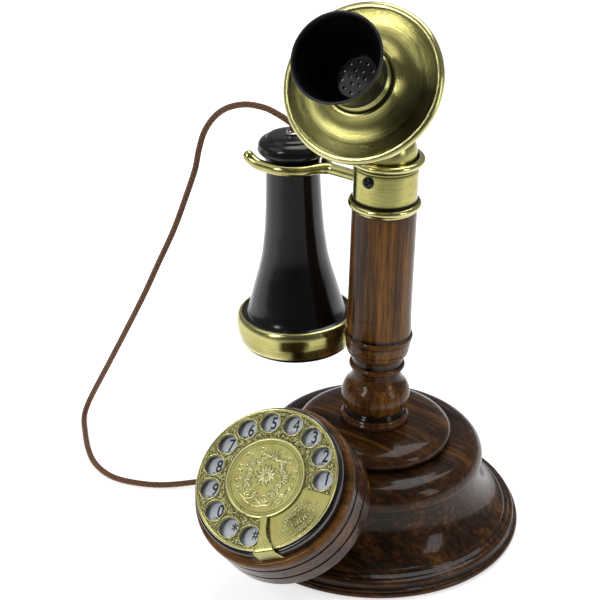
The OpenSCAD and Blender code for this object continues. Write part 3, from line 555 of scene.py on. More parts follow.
# Stained walnut: streaks and pores along Z of Place, darker stain caught in the hollows.
walnut, given, out = effect(
    "walnut_figure",
    [("Place", "Vector", None), ("Hollow", "Float", 0.0), ("Stain Depth and Painted Light", "Float", 0.5)],
    [("Colour", "Color"), ("Roughness", "Float"), ("Height", "Float")],
)
streaks = mottle(walnut, given["Place"], (330, 330, 9), 6.0, 0.62, 0.35)
bands = mottle(walnut, given["Place"], (70, 70, 5), 3.0, 0.5, 0.8)
pores = mottle(walnut, given["Place"], (1500, 1500, 55), 2.0, 0.5)
clouds = mottle(walnut, given["Place"], (26, 26, 14), 2.0, 0.5)
figure = calc(walnut, "MULTIPLY_ADD", streaks, 0.62, calc(walnut, "MULTIPLY", bands, 0.38))
figure = calc(walnut, "ADD", figure, calc(walnut, "MULTIPLY_ADD", clouds, 0.35, -0.175))
figure = calc(walnut, "SUBTRACT", figure, calc(walnut, "MULTIPLY_ADD", given["Stain Depth and Painted Light"], 0.3, -0.15))
stain = shades(
    walnut, figure,
    (0.30, 0.010, 0.0046, 0.0020), (0.43, 0.043, 0.0178, 0.0048),
    (0.53, 0.120, 0.0490, 0.0100), (0.68, 0.290, 0.1240, 0.0240),
)
open_pores = shades(walnut, pores, (0.36, 1, 1, 1), (0.44, 0, 0, 0))
stain = tint(walnut, calc(walnut, "MULTIPLY", open_pores, 0.62), stain, (0.012, 0.005, 0.003, 1))
sunk = calc(walnut, "MULTIPLY_ADD", given["Hollow"], 3.2, 0.0, clamp=True)
stain = tint(walnut, sunk, stain, (0.006, 0.0032, 0.0022, 1))
proud = calc(walnut, "MULTIPLY", given["Hollow"], -1.6, clamp=True)
stain = tint(walnut, proud, stain, (0.075, 0.030, 0.012, 1))
walnut.links.new(stain, out["Colour"])
walnut.links.new(calc(walnut, "MULTIPLY_ADD", streaks, 0.16, 0.10), out["Roughness"])
walnut.links.new(calc(walnut, "MULTIPLY_ADD", open_pores, -0.8, streaks), out["Height"])


def lacquered_walnut(name, grain, stain_and_painted_light, shift=(0, 0, 0), painted_light_above=None):
    """Walnut with its grain turned by the given angles in degrees, under clear lacquer."""
    material, tree, skin = finish_of(name, Coat_Weight=0.26, Coat_Roughness=0.05, Specular_IOR_Level=0.08)
    turned_grain = put(tree, "Mapping", {
        "Vector": where(tree), "Rotation": [math.radians(a) for a in grain], "Location": shift,
    })
    # Above the given height the stain is left out, so that part is painted paler: a painted highlight.
    if painted_light_above is not None:
        height = put(tree, "SeparateXYZ", {0: where(tree)}).node.outputs["Z"]
        stain_and_painted_light = put(tree, "MapRange", {
            "Value": height, 1: (painted_light_above - 0.8) * mm, 2: (painted_light_above + 0.4) * mm, 3: stain_and_painted_light, 4: 0.0,
        })
    figure = use(tree, walnut, {"Place": turned_grain, "Hollow": noted(tree, "hollow"),
                                "Stain Depth and Painted Light": stain_and_painted_light})
    wavy = relief(tree, mottle(tree, where(tree), (120, 120, 120), 2.0), 0.00025)
    grained = relief(tree, figure["Height"], 0.00006, 0.8, wavy)
    surface(tree, skin, figure["Colour"], figure["Roughness"], grained)
    return material


base_wood = lacquered_walnut("base_walnut", (0, 90, 24), 0.85, (0.3, 0.1, 0.2))
base_outline = [(core_r, base_top), (core_r, 46), (shoulder_r - 4, 46), (54.6, 38), (54.6, 27), (64, 14)]
base_outline += [(73, 11), (73, 3.5), (81.3, 3.5), (81.3, 0.8), (foot_r - 1.6, 0.8)]
base_outline += bow(foot_r - 2, 3, 2, -70, 60)
base_outline += [(foot_r - 0.8, 5.6), (foot_r - 2, 6.2), (foot_r - 2.6, 7.6)]
base_outline += bow(foot_r - 4.6, 8.2, 2, 0, 80, 8)
base_outline += [(foot_r - 5.4, 10.4), (foot_r - 5.9, 11), (foot_r - 8.2, 11.8), (foot_r - 8.6, 12.4)]
for i in range(31):
    t = i / 30
    base_outline.append((foot_r - 9.2 - 15.2 * (1 - (1 - t) ** 2.1), 13 + (shoulder_z - 15.5) * t ** 1.25))
base_outline += bow(shoulder_r, shoulder_z, shoulder_round, -12, 84, 20)
base_outline += [(shoulder_r - 1.4, base_top)]
base = turning("base_turning", base_outline, base_wood, round_by=192, crease=28)
carve(base, [block((-8.2, 60, 5.3), (8.2, 122, 18.2))])
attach(base, "base")
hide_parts("base_shell")

# ---------------------------------------------------------------------------
# Plinth. A walnut disc with a quarter-round edge, glued on the base.
# ---------------------------------------------------------------------------
plinth_r = 44.5
plinth_h = 10.9
plinth_outline = [(core_r, 0), (plinth_r - 3.2, 0), (plinth_r - 1.4, 0.8)]
plinth_outline += bow(plinth_r - 2.4, 3.2, 2.4, -50, 20, 8)
for a in range(12, 79, 6):
    t = math.radians(a)
    plinth_outline.append((plinth_r - 13.8 + 13.8 * math.cos(t), plinth_h - 7.3 + 7.0 * math.sin(t)))
plinth_outline += [(plinth_r - 14.1, plinth_h), (core_r, plinth_h)]
plinth_wood = lacquered_walnut("plinth_walnut", (0, 90, 64), 0.62, (0.15, 0.4, 0.0))
plinth = turning("plinth_turning", plinth_outline, plinth_wood,
                 Matrix.Translation((0, 0, base_top * mm)), 192, 28)
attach(plinth, "base")
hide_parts("base_plinth")

# ---------------------------------------------------------------------------
# Column. One walnut spindle with a ball, two beads and a long plain shaft,
# its grain upright, held to the base by a steel tube through its middle.
# ---------------------------------------------------------------------------
column_r = 17.8
column_foot = base_top + plinth_h
column_len = 131.8
column_outline = [(core_r, 0), (19.0, 0), (19.6, 0.8), (19.5, 2.4), (18.6, 3.4), (18.8, 4.2), (18.2, 5.0)]
column_outline += [(16.9, 5.4), (16.3, 6.2), (16.6, 7.0)]
column_outline += bow(7.2, 16.2, 12.4, -44, 40, 26)
column_outline += [(15.6, 25.4), (14.5, 27.4), (13.8, 29.6), (13.7, 31.2), (14.2, 32.0), (14.1, 33.0)]
column_outline += bow(14.1, 35.2, 1.75, -80, 80, 14)
column_outline += [(14.4, 37.4), (14.5, 38.6), (14.9, 41.6), (15.9, 42.2), (16.1, 42.8), (17.2, 43.8)]
column_outline += [(17.5, 44.8), (17.4, 45.6), (18.0, 46.8), (18.2, 49.0), (18.7, 51.4)]
column_outline += bow(17.6, 54.2, 1.75, -50, 70, 12)
column_outline += [(column_r + 0.5, 58.6), (column_r + 0.1, 68), (column_r, 84), (column_r, column_len)]
column_outline += [(15.8, column_len), (15.8, column_len + 6), (core_r, column_len + 6)]
column_wood = lacquered_walnut("column_walnut", (0, 0, 0), 0.42, (0.02, 0.07, 0.5))
column = turning("column_turning", column_outline, column_wood,
                 Matrix.Translation((0, 0, column_foot * mm)), 160, 28, step=1.0)
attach(column, "base")
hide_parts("column")

# ---------------------------------------------------------------------------
# Insides and sockets. A small circuit board on pillars, a sounder can and the
# line socket in the back of the base, all factory parts screwed or clipped in.
# ---------------------------------------------------------------------------
# Moulded plastic: a fine eggshell grain and a slightly uneven, faded gloss.
eggshell, given, out = effect(
    "eggshell_plastic",
    [("Place", "Vector", None), ("Fresh", "Color", None), ("Faded", "Color", None),
     ("Dullness", "Float", 0.3)],
    [("Colour", "Color"), ("Roughness", "Float"), ("Height", "Float")],
)
smears = mottle(eggshell, given["Place"], (90, 90, 90), 3.0)
eggshell.links.new(tint(eggshell, smears, given["Fresh"], given["Faded"]), out["Colour"])
eggshell.links.new(calc(eggshell, "MULTIPLY_ADD", smears, 0.2, given["Dullness"]), out["Roughness"])
eggshell.links.new(mottle(eggshell, given["Place"], (900, 900, 900), 3.0), out["Height"])


def moulded(name, colour, dull):
    """Moulded plastic of a colour."""
    material, tree, skin = finish_of(name)
    faded = (*(min(1, c * 1.5 + 0.004) for c in colour), 1)
    feed = {"Place": where(tree), "Fresh": (*colour, 1), "Faded": faded, "Dullness": dull}
    made = use(tree, eggshell, feed)
    surface(tree, skin, made["Colour"], made["Roughness"], relief(tree, made["Height"], 0.00005))
    return material


black_plastic = moulded("black_plastic", (0.012, 0.012, 0.013), 0.3)
nylon = moulded("white_nylon", (0.55, 0.55, 0.50), 0.4)
board_green = moulded("board_green", (0.008, 0.09, 0.03), 0.35)
for node in ("board_parts", "sounder", "line_jack", "hook_switch", "pulse_contacts"):
    dress(node, black_plastic)
for node in ("switch_plunger", "pulse_cam"):
    dress(node, nylon)
dress("circuit_board", board_green)
for node in ("hook_bracket", "hook_pin", "hook_spring", "neck_nut", "cup_screws", "mic_capsule",
             "receiver_driver", "receiver_diaphragm", "dial_frame", "dial_posts", "wheel_screws",
             "dial_shaft", "dial_spring", "governor_bridge"):
    dress(node, zinc)

# ---------------------------------------------------------------------------
# Collar. A spun brass sleeve with a rolled bead at each end, brushed round and
# antiqued, so that black stays in its creases and its edges are rubbed bright.
# ---------------------------------------------------------------------------
collar_r = 17.6
collar_in = 16.0
collar_h = 30.6
collar_foot = 198.0
slot_low, slot_high = 207.35, 217.35
rod_r = 3.15

aged_brass, given, out = effect(
    "aged_brass",
    [("Place", "Vector", None), ("Run", "Float", 0.0), ("Hollow", "Float", 0.0),
     ("Dullness", "Float", 0.22), ("Tarnish", "Float", 0.5)],
    [("Colour", "Color"), ("Roughness", "Float"), ("Height", "Float")],
)
apart = put(aged_brass, "SeparateXYZ", {0: given["Place"]})
level_place = put(aged_brass, "CombineXYZ", {"X": apart, "Y": apart.node.outputs["Y"]})
outward = put(aged_brass, "VectorMath", {0: level_place}, operation="NORMALIZE")
apart = put(aged_brass, "SeparateXYZ", {0: outward})


def brush_lines(tree, spacing, wander):
    """Fine lines that run round a turned piece, spacing cells per metre of its outline."""
    feed = {
        "X": calc(tree, "MULTIPLY", apart, wander),
        "Y": calc(tree, "MULTIPLY", apart.node.outputs["Y"], wander),
        "Z": calc(tree, "MULTIPLY", given["Run"], spacing),
    }
    return mottle(tree, put(tree, "CombineXYZ", feed), (1, 1, 1), 3.0, 0.6)


fine_lines = brush_lines(aged_brass, 5200.0, 3.0)
coarse_lines = brush_lines(aged_brass, 900.0, 1.2)
blotches = mottle(aged_brass, given["Place"], (85, 85, 85), 4.0, 0.6)
specks = mottle(aged_brass, given["Place"], (1300, 1300, 1300), 2.0, 0.5)
worn = calc(aged_brass, "MULTIPLY_ADD", coarse_lines, 0.5, calc(aged_brass, "MULTIPLY", blotches, 0.5))
brass = shades(
    aged_brass, worn,
    (0.30, 0.300, 0.275, 0.085), (0.48, 0.430, 0.400, 0.135), (0.62, 0.520, 0.490, 0.180),
    (0.80, 0.640, 0.610, 0.270),
)
flecks = shades(aged_brass, specks, (0.30, 1, 1, 1), (0.38, 0, 0, 0))
brass = tint(aged_brass, calc(aged_brass, "MULTIPLY", flecks, given["Tarnish"]), brass,
             (0.120, 0.105, 0.035, 1))
caught = calc(aged_brass, "MULTIPLY_ADD", given["Hollow"], 4.5, -0.12, clamp=True)
brass = tint(aged_brass, caught, brass, (0.020, 0.019, 0.010, 1))
rubbed = calc(aged_brass, "MULTIPLY_ADD", given["Hollow"], -2.2, -0.05, clamp=True)
brass = tint(aged_brass, rubbed, brass, (0.740, 0.700, 0.330, 1))
aged_brass.links.new(brass, out["Colour"])
dulled = calc(aged_brass, "MULTIPLY_ADD", fine_lines, 0.12, given["Dullness"])
aged_brass.links.new(calc(aged_brass, "MULTIPLY_ADD", caught, 0.35, dulled), out["Roughness"])
aged_brass.links.new(calc(aged_brass, "MULTIPLY_ADD", coarse_lines, 0.6, fine_lines), out["Height"])


def brass_finish(name, dullness=0.16, lines=0.000022, tarnish=0.35, stretch=0.55):
    """Antique brass, brushed round the piece."""
    material, tree, skin = finish_of(name, Metallic=1.0, Anisotropic=stretch, Anisotropic_Rotation=0.25)
    aged = use(tree, aged_brass, {
        "Place": where(tree), "Run": noted(tree, "run"), "Hollow": noted(tree, "hollow"),
        "Dullness": dullness, "Tarnish": tarnish,
    })
    surface(tree, skin, aged["Colour"], aged["Roughness"], relief(tree, aged["Height"], lines))
    return material


def plain_brass(name, dullness, tarnish):
    """Antique brass without lines. Gives the material, its tree, its sockets and the aged colour."""
    material, tree, skin = finish_of(name, Metallic=1.0)
    feed = {"Place": where(tree), "Dullness": dullness, "Tarnish": tarnish}
    return material, tree, skin, use(tree, aged_brass, feed)


def pitted(tree, cells, depth, detail=3.0, rough=0.55):
    """Normals of a faintly uneven face, of so many cells per metre."""
    return relief(tree, mottle(tree, where(tree), (cells, cells, cells), detail, rough), depth)


collar_brass = brass_finish("collar_brass", 0.13, stretch=0.3)
collar_outline = [(collar_in, 0), (collar_r + 0.2, 0)]
collar_outline += bow(collar_r + 0.4, 3, 2, -85, 80, 16)
collar_outline += [(collar_r + 0.3, 5.2), (collar_r, 6.2), (collar_r, collar_h - 6.4)]
collar_outline += [(collar_r + 0.5, collar_h - 5.9), (collar_r + 0.6, collar_h - 4.6)]
collar_outline += bow(collar_r + 1.2, collar_h - 2.1, 1.9, -75, 88, 16)
collar_outline += [(collar_r - 0.1, collar_h - 0.2), (collar_r - 0.3, collar_h - 1)]
collar_outline += [(collar_r - 0.3, collar_h - 4.2), (8.2, collar_h - 4.2), (8.2, collar_h - 8.3)]
collar_outline += [(collar_in, collar_h - 8.3)]
collar = turning("collar_sleeve", collar_outline, collar_brass,
                 Matrix.Translation((0, 0, collar_foot * mm)), 192, 26, step=0.5)
carve(collar, [block((-24, -rod_r - 0.5, slot_low), (-12, rod_r + 0.5, slot_high))])
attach(collar, "base")
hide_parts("collar")

blackened, tree, skin = finish_of("blackened_steel", Metallic=0.6)
smears = mottle(tree, where(tree), (900, 900, 900), 4.0)
sooty = shades(tree, smears, (0.3, 0.010, 0.010, 0.012), (0.7, 0.028, 0.028, 0.031))
surface(tree, skin, sooty, calc(tree, "MULTIPLY_ADD", smears, 0.2, 0.12), relief(tree, smears, 0.00003))
dress("collar_screws", blackened)

# ---------------------------------------------------------------------------
# Hook. A brass rod pivoted inside the collar and brazed to two bent prongs
# that hold the receiver under its cap. Their tips turn up and are rounded off.
# ---------------------------------------------------------------------------
fork_r = 19.25
pivot_z = 211.0
tip_bend = 14.0


def rounded(share):
    """Thickness towards a rod's rounded end."""
    left = min(1.0, (1 - share) / 0.045)
    return max(0.05, math.sqrt(1 - (1 - left) ** 2))


shank = [Vector((x, 0, pivot_z)) for x in (-9, -14, -20, -26, -32, -38)]
hook_parts = [hose("shank", shank, rod_r, 40, collar_brass)[0]]
for side in (-1, 1):
    root = ((-31, 0), (-35.5, 0.3), (-39.4, 2.6), (-42.4, 6.4))
    prong = [Vector((x, side * y, pivot_z)) for x, y in root]
    for a in range(30, 91, 10):
        t = math.radians(a)
        prong.append(Vector((-hook_reach + fork_r * math.cos(t), side * fork_r * math.sin(t), pivot_z)))
    prong.append(Vector((-hook_reach - 4.5, side * fork_r, pivot_z)))
    for a in range(0, 45, 9):
        t = math.radians(a)
        rise = tip_bend * (1 - math.cos(t))
        prong.append(Vector((-hook_reach - 7 - tip_bend * math.sin(t), side * fork_r, pivot_z + rise)))
    t = math.radians(44)
    prong.append(prong[-1] + Vector((-math.cos(t), 0, math.sin(t))) * 4.2)
    hook_parts.append(hose("prong", through(prong, 6), rod_r, 40, collar_brass, rounded)[0])
for piece in bpy.context.scene.objects:
    piece.select_set(piece in hook_parts)
bpy.context.view_layer.objects.active = hook_parts[0]
bpy.ops.object.join()
hook = hook_parts[0]
hook.name = "hook_fork"
blending = hook.modifiers.new("brazed", "REMESH")
blending.mode = "VOXEL"
blending.voxel_size = 0.00042
easing = hook.modifiers.new("filed", "SMOOTH")
easing.factor = 0.5
easing.iterations = 7
evaluated = hook.evaluated_get(bpy.context.evaluated_depsgraph_get())
hook.data = bpy.data.meshes.new_from_object(evaluated)
hook.modifiers.clear()
hook.select_set(False)
rod_brass, tree, skin, aged = plain_brass("rod_brass", 0.17, 0.3)
handled = mottle(tree, where(tree), (60, 900, 900), 4.0)
rubbings = shades(tree, handled, (0.35, 0.25, 0.23, 0.08), (0.65, 0.75, 0.72, 0.36))
surface(tree, skin, tint(tree, 0.35, aged["Colour"], rubbings),
        calc(tree, "MULTIPLY_ADD", handled, 0.15, 0.13), relief(tree, handled, 0.00003))
for face in hook.data.polygons:
    face.use_smooth = True
hook.data.materials.clear()
hook.data.materials.append(rod_brass)
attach(hook, "hook")
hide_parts("hook_lever")

# ---------------------------------------------------------------------------
# Neck. A domed brass casting that swivels in the collar, with two ears for
# the transmitter's hinge screw.
# ---------------------------------------------------------------------------
turn_aim = math.radians(9.4)
hinge_z = 254.4
neck_seat = 224.4
collar_top = 228.6
neck_place = Matrix.Rotation(turn_aim, 4, "Z")
neck_outline = [(0, 217.7), (7.95, 217.7), (7.95, neck_seat + 0.1), (16.3, neck_seat + 0.1)]
neck_outline += [(16.3, collar_top + 1.4)]
for k in range(1, 21):
    t = math.radians(k * 4.48)
    neck_outline.append((8.4 + 7.9 * math.cos(t), collar_top + 1.4 + 11.5 * math.sin(t)))
neck_outline += [(8.2, hinge_z - 8.2), (0, hinge_z - 8.2)]
neck_brass = brass_finish("neck_brass", 0.18)
neck = turning("neck_dome", neck_outline, neck_brass, neck_place, 128, 30, closed=False, step=0.6)
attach(neck, "neck")
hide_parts("neck")


def filled(outlines):
    """The mesh that lettering or a flat curve fills."""
    drawn = bpy.data.objects.new("drawn", outlines)
    bpy.context.scene.collection.objects.link(drawn)
    bpy.context.view_layer.update()
    mesh = bpy.data.meshes.new_from_object(drawn.evaluated_get(bpy.context.evaluated_depsgraph_get()))
    bpy.data.objects.remove(drawn)
    return mesh


def pressed(name, loops, thick, edge, finish, place):
    """Sheet metal cut to its loops in millimetres, with its edges eased."""
    shape = bpy.data.curves.new(name, "CURVE")
    shape.dimensions = "2D"
    shape.fill_mode = "BOTH"
    shape.extrude = thick / 2 * mm - edge * mm
    shape.bevel_depth = edge * mm
    shape.bevel_resolution = 2
    shape.offset = -edge * mm
    for loop in loops:
        spline = shape.splines.new("POLY")
        spline.points.add(len(loop) - 1)
        for point, (x, y) in zip(spline.points, loop):
            point.co = (x * mm, y * mm, 0, 1)
        spline.use_cyclic_u = True
    mesh = filled(shape)
    mesh.name = name
    return keep(name, mesh, finish, 40, place)


lug_r, lug_t, ear_t, ear_gap = 6.8, 8.0, 3.8, 0.15
upright = Matrix(((0, 0, 1, 0), (1, 0, 0, 0), (0, 1, 0, 0), (0, 0, 0, 1)))
ear_loop = [(-lug_r, -9.2)] + bow(0, 0, lug_r, 180, 0, 28) + [(lug_r, -9.2)]
ear_brass, tree, skin, aged = plain_brass("ear_brass", 0.24, 0.5)
surface(tree, skin, aged["Colour"], aged["Roughness"], pitted(tree, 700, 0.00004, 4.0))
for side in (-1, 1):
    middle = side * (lug_t / 2 + ear_gap + ear_t / 2) * mm
    spot = neck_place @ Matrix.Translation((middle, 0, hinge_z * mm)) @ upright
    ear = pressed("neck_ear_%d" % (side + 2), [ear_loop, ring(2.45)], ear_t, 0.5, ear_brass, spot)
    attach(ear, "neck")
dress("tilt_screw", ear_brass)

# ---------------------------------------------------------------------------
# Transmitter. A cast brass cup on the hinge lug, closed by a wide spun brass
# face with a rolled rim, swept up to a short neck, three screws holding the two.
# ---------------------------------------------------------------------------
tilt_aim = math.radians(90 - 34.6)
aim_place = Matrix.Translation((0, 0, hinge_z * mm)) @ neck_place @ Matrix.Rotation(tilt_aim, 4, "X")
cup_r = 24
cup_outline = [(0, 11.5), (8.5, 11.5), (9.5, 12.5), (10, 15)]
cup_outline += [(cup_r - 5, 19.5), (cup_r - 3, 20.8), (cup_r - 1.5, 22.5), (cup_r - 0.4, 24), (cup_r, 26)]
cup_outline += [(cup_r, 40.4), (cup_r + 4, 40.4), (cup_r + 4, 41.8), (0, 41.8)]
cup = turning("transmitter_casting", cup_outline, neck_brass, aim_place, 144, 34, closed=False, step=0.8)
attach(cup, "transmitter")
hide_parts("transmitter_cup")
lug_loop = [(-lug_r, 0)] + bow(0, 0, lug_r, 180, 360, 28) + [(lug_r, 0), (lug_r, 12), (-lug_r, 12)]
lug = pressed("transmitter_lug", [lug_loop, ring(2.45)], lug_t, 0.5, ear_brass, aim_place @ upright)
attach(lug, "transmitter")

dish_r = 42.1
dish_outline = [(13.3, 41.9), (dish_r - 5.2, 41.9), (dish_r - 2.6, 42.4)]
dish_outline += bow(dish_r - 2.4, 45.2, 2.4, -75, 130, 22)
swell = [(dish_r - 5.2, 46.6), (dish_r - 6.8, 46.1), (dish_r - 9.5, 45.5), (30, 45), (27, 45.1)]
swell += [(24.4, 45.7), (22.2, 46.8), (20.4, 48.4), (19, 50.2)]
dish_outline += [tuple(p) for p in through([Vector(p) for p in swell], 4)]
dish_outline += [(18.8, 50.5), (18.3, 50.65), (17.8, 50.65), (17.3, 50.8), (16.9, 51.3), (16.4, 52.4)]
dish_outline += [(15.6, 53.4), (15.1, 54.2), (14.8, 54.7), (13.3, 54.8)]
spun_brass = brass_finish("spun_brass", 0.13, 0.00006, 0.2, 0.55)
dish = turning("spun_face", dish_outline, spun_brass, aim_place, 224, 30, step=0.6)
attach(dish, "transmitter")
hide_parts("dish")

# ---------------------------------------------------------------------------
# Mouthpiece. A flared cup moulded in black and polished, screwed into the
# face over a disc drilled with rings of small holes.
# ---------------------------------------------------------------------------
# Polished black moulding: faint smears, and proud edges rubbed a little grey.
polished, given, out = effect(
    "polished_black",
    [("Place", "Vector", None), ("Hollow", "Float", 0.0), ("Edge", "Color", None),
     ("Dullness", "Float", 0.1)],
    [("Colour", "Color"), ("Roughness", "Float"), ("Height", "Float")],
)
smears = mottle(polished, given["Place"], (45, 45, 45), 4.0, 0.6)
rubbed = calc(polished, "MULTIPLY_ADD", given["Hollow"], -1.5, -0.1, clamp=True)
deep_black = shades(polished, smears, (0.3, 0.0030, 0.0030, 0.0036), (0.7, 0.0062, 0.0062, 0.0072))
polished.links.new(tint(polished, rubbed, deep_black, given["Edge"]), out["Colour"])
polished.links.new(calc(polished, "MULTIPLY_ADD", smears, 0.14, given["Dullness"]), out["Roughness"])
polished.links.new(mottle(polished, given["Place"], (1200, 1200, 1200), 2.0), out["Height"])


def black_gloss(name, edge_grey=0.012, polish=0.6):
    """Polished black moulding, glossier and smoother the more it is polished."""
    shine = {"Coat_Weight": polish, "Coat_Roughness": 0.04, "Specular_IOR_Level": polish * 0.66}
    material, tree, skin = finish_of(name, **shine)
    made = use(tree, polished, {
        "Place": where(tree), "Hollow": noted(tree, "hollow"),
        "Edge": (edge_grey, edge_grey, edge_grey * 1.1, 1), "Dullness": 0.26 - polish / 3,
    })
    surface(tree, skin, made["Colour"], made["Roughness"], relief(tree, made["Height"], 0.000004))
    return material


mouth_r = 23.3
mouth_lip = 86.9
cup_gloss = black_gloss("mouthpiece_gloss", 0.05, 0.2)
mouth_outline = [(11, 54.4), (13.1, 54.4), (13.1, 55), (15.6, 55), (15.9, 55.2), (16, 55.5), (16, 56.6)]
mouth_outline += [(15.8, 57.0), (15.5, 57.4)]
outer = [k / 24 for k in range(1, 25)]
for t in outer:
    mouth_outline.append((15.5 + (mouth_r - 16.6) * t, 57.4 + (mouth_lip - 58.4) * t ** 1.05))
mouth_outline += bow(mouth_r - 0.7, mouth_lip - 0.7, 0.7, -10, 170, 10)
for t in reversed(outer):
    mouth_outline.append((12 + (mouth_r - 13.9) * t ** 0.85, 60 + (mouth_lip - 61.4) * t ** 1.1))
mouth_outline += [(11.6, 59), (11, 56.6)]
mouthpiece = turning("mouthpiece_cup", mouth_outline, cup_gloss, aim_place, 160, 34, step=0.8)
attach(mouthpiece, "transmitter")
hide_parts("mouthpiece")
disc_gloss = black_gloss("disc_gloss", polish=0.08)
dress("mic_grille", disc_gloss)

# ---------------------------------------------------------------------------
# Receiver. A slender black moulding that flares to its ear end, with a domed
# cap screwed on top and a small nickel ferrule where the cord goes in.
# ---------------------------------------------------------------------------
receiver_place = Matrix.Translation((-hook_reach * mm, 0, cap_seat * mm)) @ Matrix.Rotation(-hang, 4, "Y")
receiver_neck = 15.2
band_r = 34.7
flare = [(-100, 1), (-96, 0.89), (-92.6, 0.792), (-85, 0.656), (-77.2, 0.513), (-69, 0.364), (-60.5, 0.24),
         (-51, 0.156), (-42.7, 0.097), (-27.5, 0.039), (-13.7, 0.006), (0, 0)]
wall_line = through([Vector((receiver_neck + share * 15.4, z)) for z, share in reversed(flare)], 8)
shell_outline = [tuple(p) for p in wall_line if p.y > -96.5]
shell_outline += [(29.2, -96.5), (band_r - 3.4, -97.6), (band_r - 3.4, -108), (band_r - 5.6, -108)]
shell_outline += [(band_r - 5.6, -100)]
shell_outline += [(p.x - 2.6, p.y) for p in reversed(wall_line) if -92 < p.y < -2]
shell_outline.append((12.6, 0))
shell_gloss = black_gloss("receiver_gloss", polish=0.36)
shell = turning("receiver_body", shell_outline, shell_gloss, receiver_place, 160, 34, step=2.0)
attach(shell, "receiver")
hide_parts("receiver_shell")

cap_r = 19.6
cap_h = 11.2
cap_outline = [(12.5, -3.6), (12.5, 0.05), (receiver_neck + 2.4, 0.05)]
cap_outline += bow(cap_r - 2.6, 3.2, 2.6, -80, 20, 14)
cap_outline += bow(cap_r - 5.2, 4, 5.1, 26, 84, 14)
cap_outline += [(cap_r - 5.0, cap_h - 1.9), (cap_r - 5.3, cap_h - 1.3), (cap_r - 5.9, cap_h - 0.8)]
cap_outline += [(cap_r - 7, cap_h - 0.45), (cap_r - 10, cap_h - 0.1), (5, cap_h), (2.05, cap_h), (2.05, 6)]
cap_outline += [(10.3, 4), (10.3, -3.6)]
cap = turning("receiver_top", cap_outline, shell_gloss, receiver_place, 128, 30, step=0.8)
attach(cap, "receiver")
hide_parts("receiver_cap")

nickel = metal_finish("nickel_plate", (0.66, 0.65, 0.62), 0.12, (1200, 1200, 1200))
ferrule_outline = [(1.75, cap_h - 4), (2, cap_h - 4), (2, cap_h + 0.05), (3.6, cap_h + 0.05)]
ferrule_outline += [(3.8, cap_h + 0.4), (3.7, cap_h + 0.8), (3.1, cap_h + 1.2), (2.95, ferrule_top - 0.5)]
ferrule_outline += [(2.75, ferrule_top - 0.1), (2.5, ferrule_top), (1.75, ferrule_top)]
ferrule = turning("cord_ferrule", ferrule_outline, nickel, receiver_place, 64, 34, step=0.5)
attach(ferrule, "receiver")
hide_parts("receiver_ferrule")

band_brass = brass_finish("band_brass", 0.15, 0.00002, 0.3)
band_outline = [(band_r - 3.2, -97.7), (band_r - 3, -96.6)]
band_outline += [(band_r - 2.7 + 2.7 * math.sin(math.radians(a)), -101.4 + 4.8 * math.cos(math.radians(a)))
                 for a in range(4, 89, 6)]
band_outline += [(band_r - 0.1, -104), (band_r - 0.4, -107), (band_r - 0.9, -109), (band_r - 1.6, -111.6)]
band_outline += [(band_r - 2.2, -113.4), (band_r - 3.2, -113.8)]
band = turning("ear_ring", band_outline, band_brass, receiver_place, 192, 34, step=0.7)
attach(band, "receiver")
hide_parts("ear_band")

ear_outline = [(0, -113), (5, -113.1), (9, -113.4), (15, -114.2), (20, -115.2), (25, -115.75)]
ear_outline += [(band_r - 5, -115.9), (band_r - 3.9, -115.7), (band_r - 3.2, -115.1)]
ear_outline += [(band_r - 2.7, -114.1), (band_r - 3.4, -113.9)]
ear_outline += [(band_r - 3.4, -108.2), (band_r - 5.8, -108.2), (band_r - 5.8, -111.2), (0, -111.2)]
ear_piece = turning("ear_piece", ear_outline, shell_gloss, receiver_place, 160, 30, closed=False, step=1.0)
ear_holes = ring(4.4, steps=6) + [(0, 0)]
carve(ear_piece, [drill(1.1, -120, -109, receiver_place @ Matrix.Translation((x * mm, y * mm, 0)))
                  for x, y in ear_holes])
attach(ear_piece, "receiver")
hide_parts("ear_cap")

# ---------------------------------------------------------------------------
# Dial drum. A walnut drum turned with two black grooves and a rounded front
# edge, glued by its tenon into the slope of the base and tilted to the user.
# ---------------------------------------------------------------------------
dial_place = Matrix.Translation((0, -107.2 * mm, 80.2 * mm)) @ Matrix.Rotation(math.radians(39), 4, "X")
wheel_r = 40.0
ring_r = 41.7
ring_in = 38.6
drum_r = 45.3
drum_face, drum_back = -9.7, -39.5
groove = 1.3
drum_outline = [(6, -34), (37, -34), (37, drum_face), (drum_r - 2.4, drum_face)]
drum_outline += bow(drum_r - 2.2, drum_face - 2.2, 2.2, 85, 5, 10)
for top in (6.2, 17.6):
    drum_outline += [(drum_r, drum_face - top), (drum_r - groove, drum_face - top - 0.6)]
    drum_outline += [(drum_r - groove, drum_face - top - 1.2), (drum_r, drum_face - top - 2)]
drum_outline.append((drum_r, drum_back + 2))
drum_outline += bow(drum_r - 2, drum_back + 2, 2, -5, -85, 8)
drum_outline += [(20, drum_back), (20, drum_back - 38), (6, drum_back - 38)]
# Above -11 mm the stain is left out, painting the front ring turned up to the lights paler: a painted
# highlight.
drum_wood = lacquered_walnut("drum_walnut", (0, 90, 75), 0.75, (0.5, 0.2, 0.1), -11.0)
drum = turning("drum_turning", drum_outline, drum_wood, dial_place, 192, 28, step=0.9)
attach(drum, "base")
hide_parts("dial_drum")

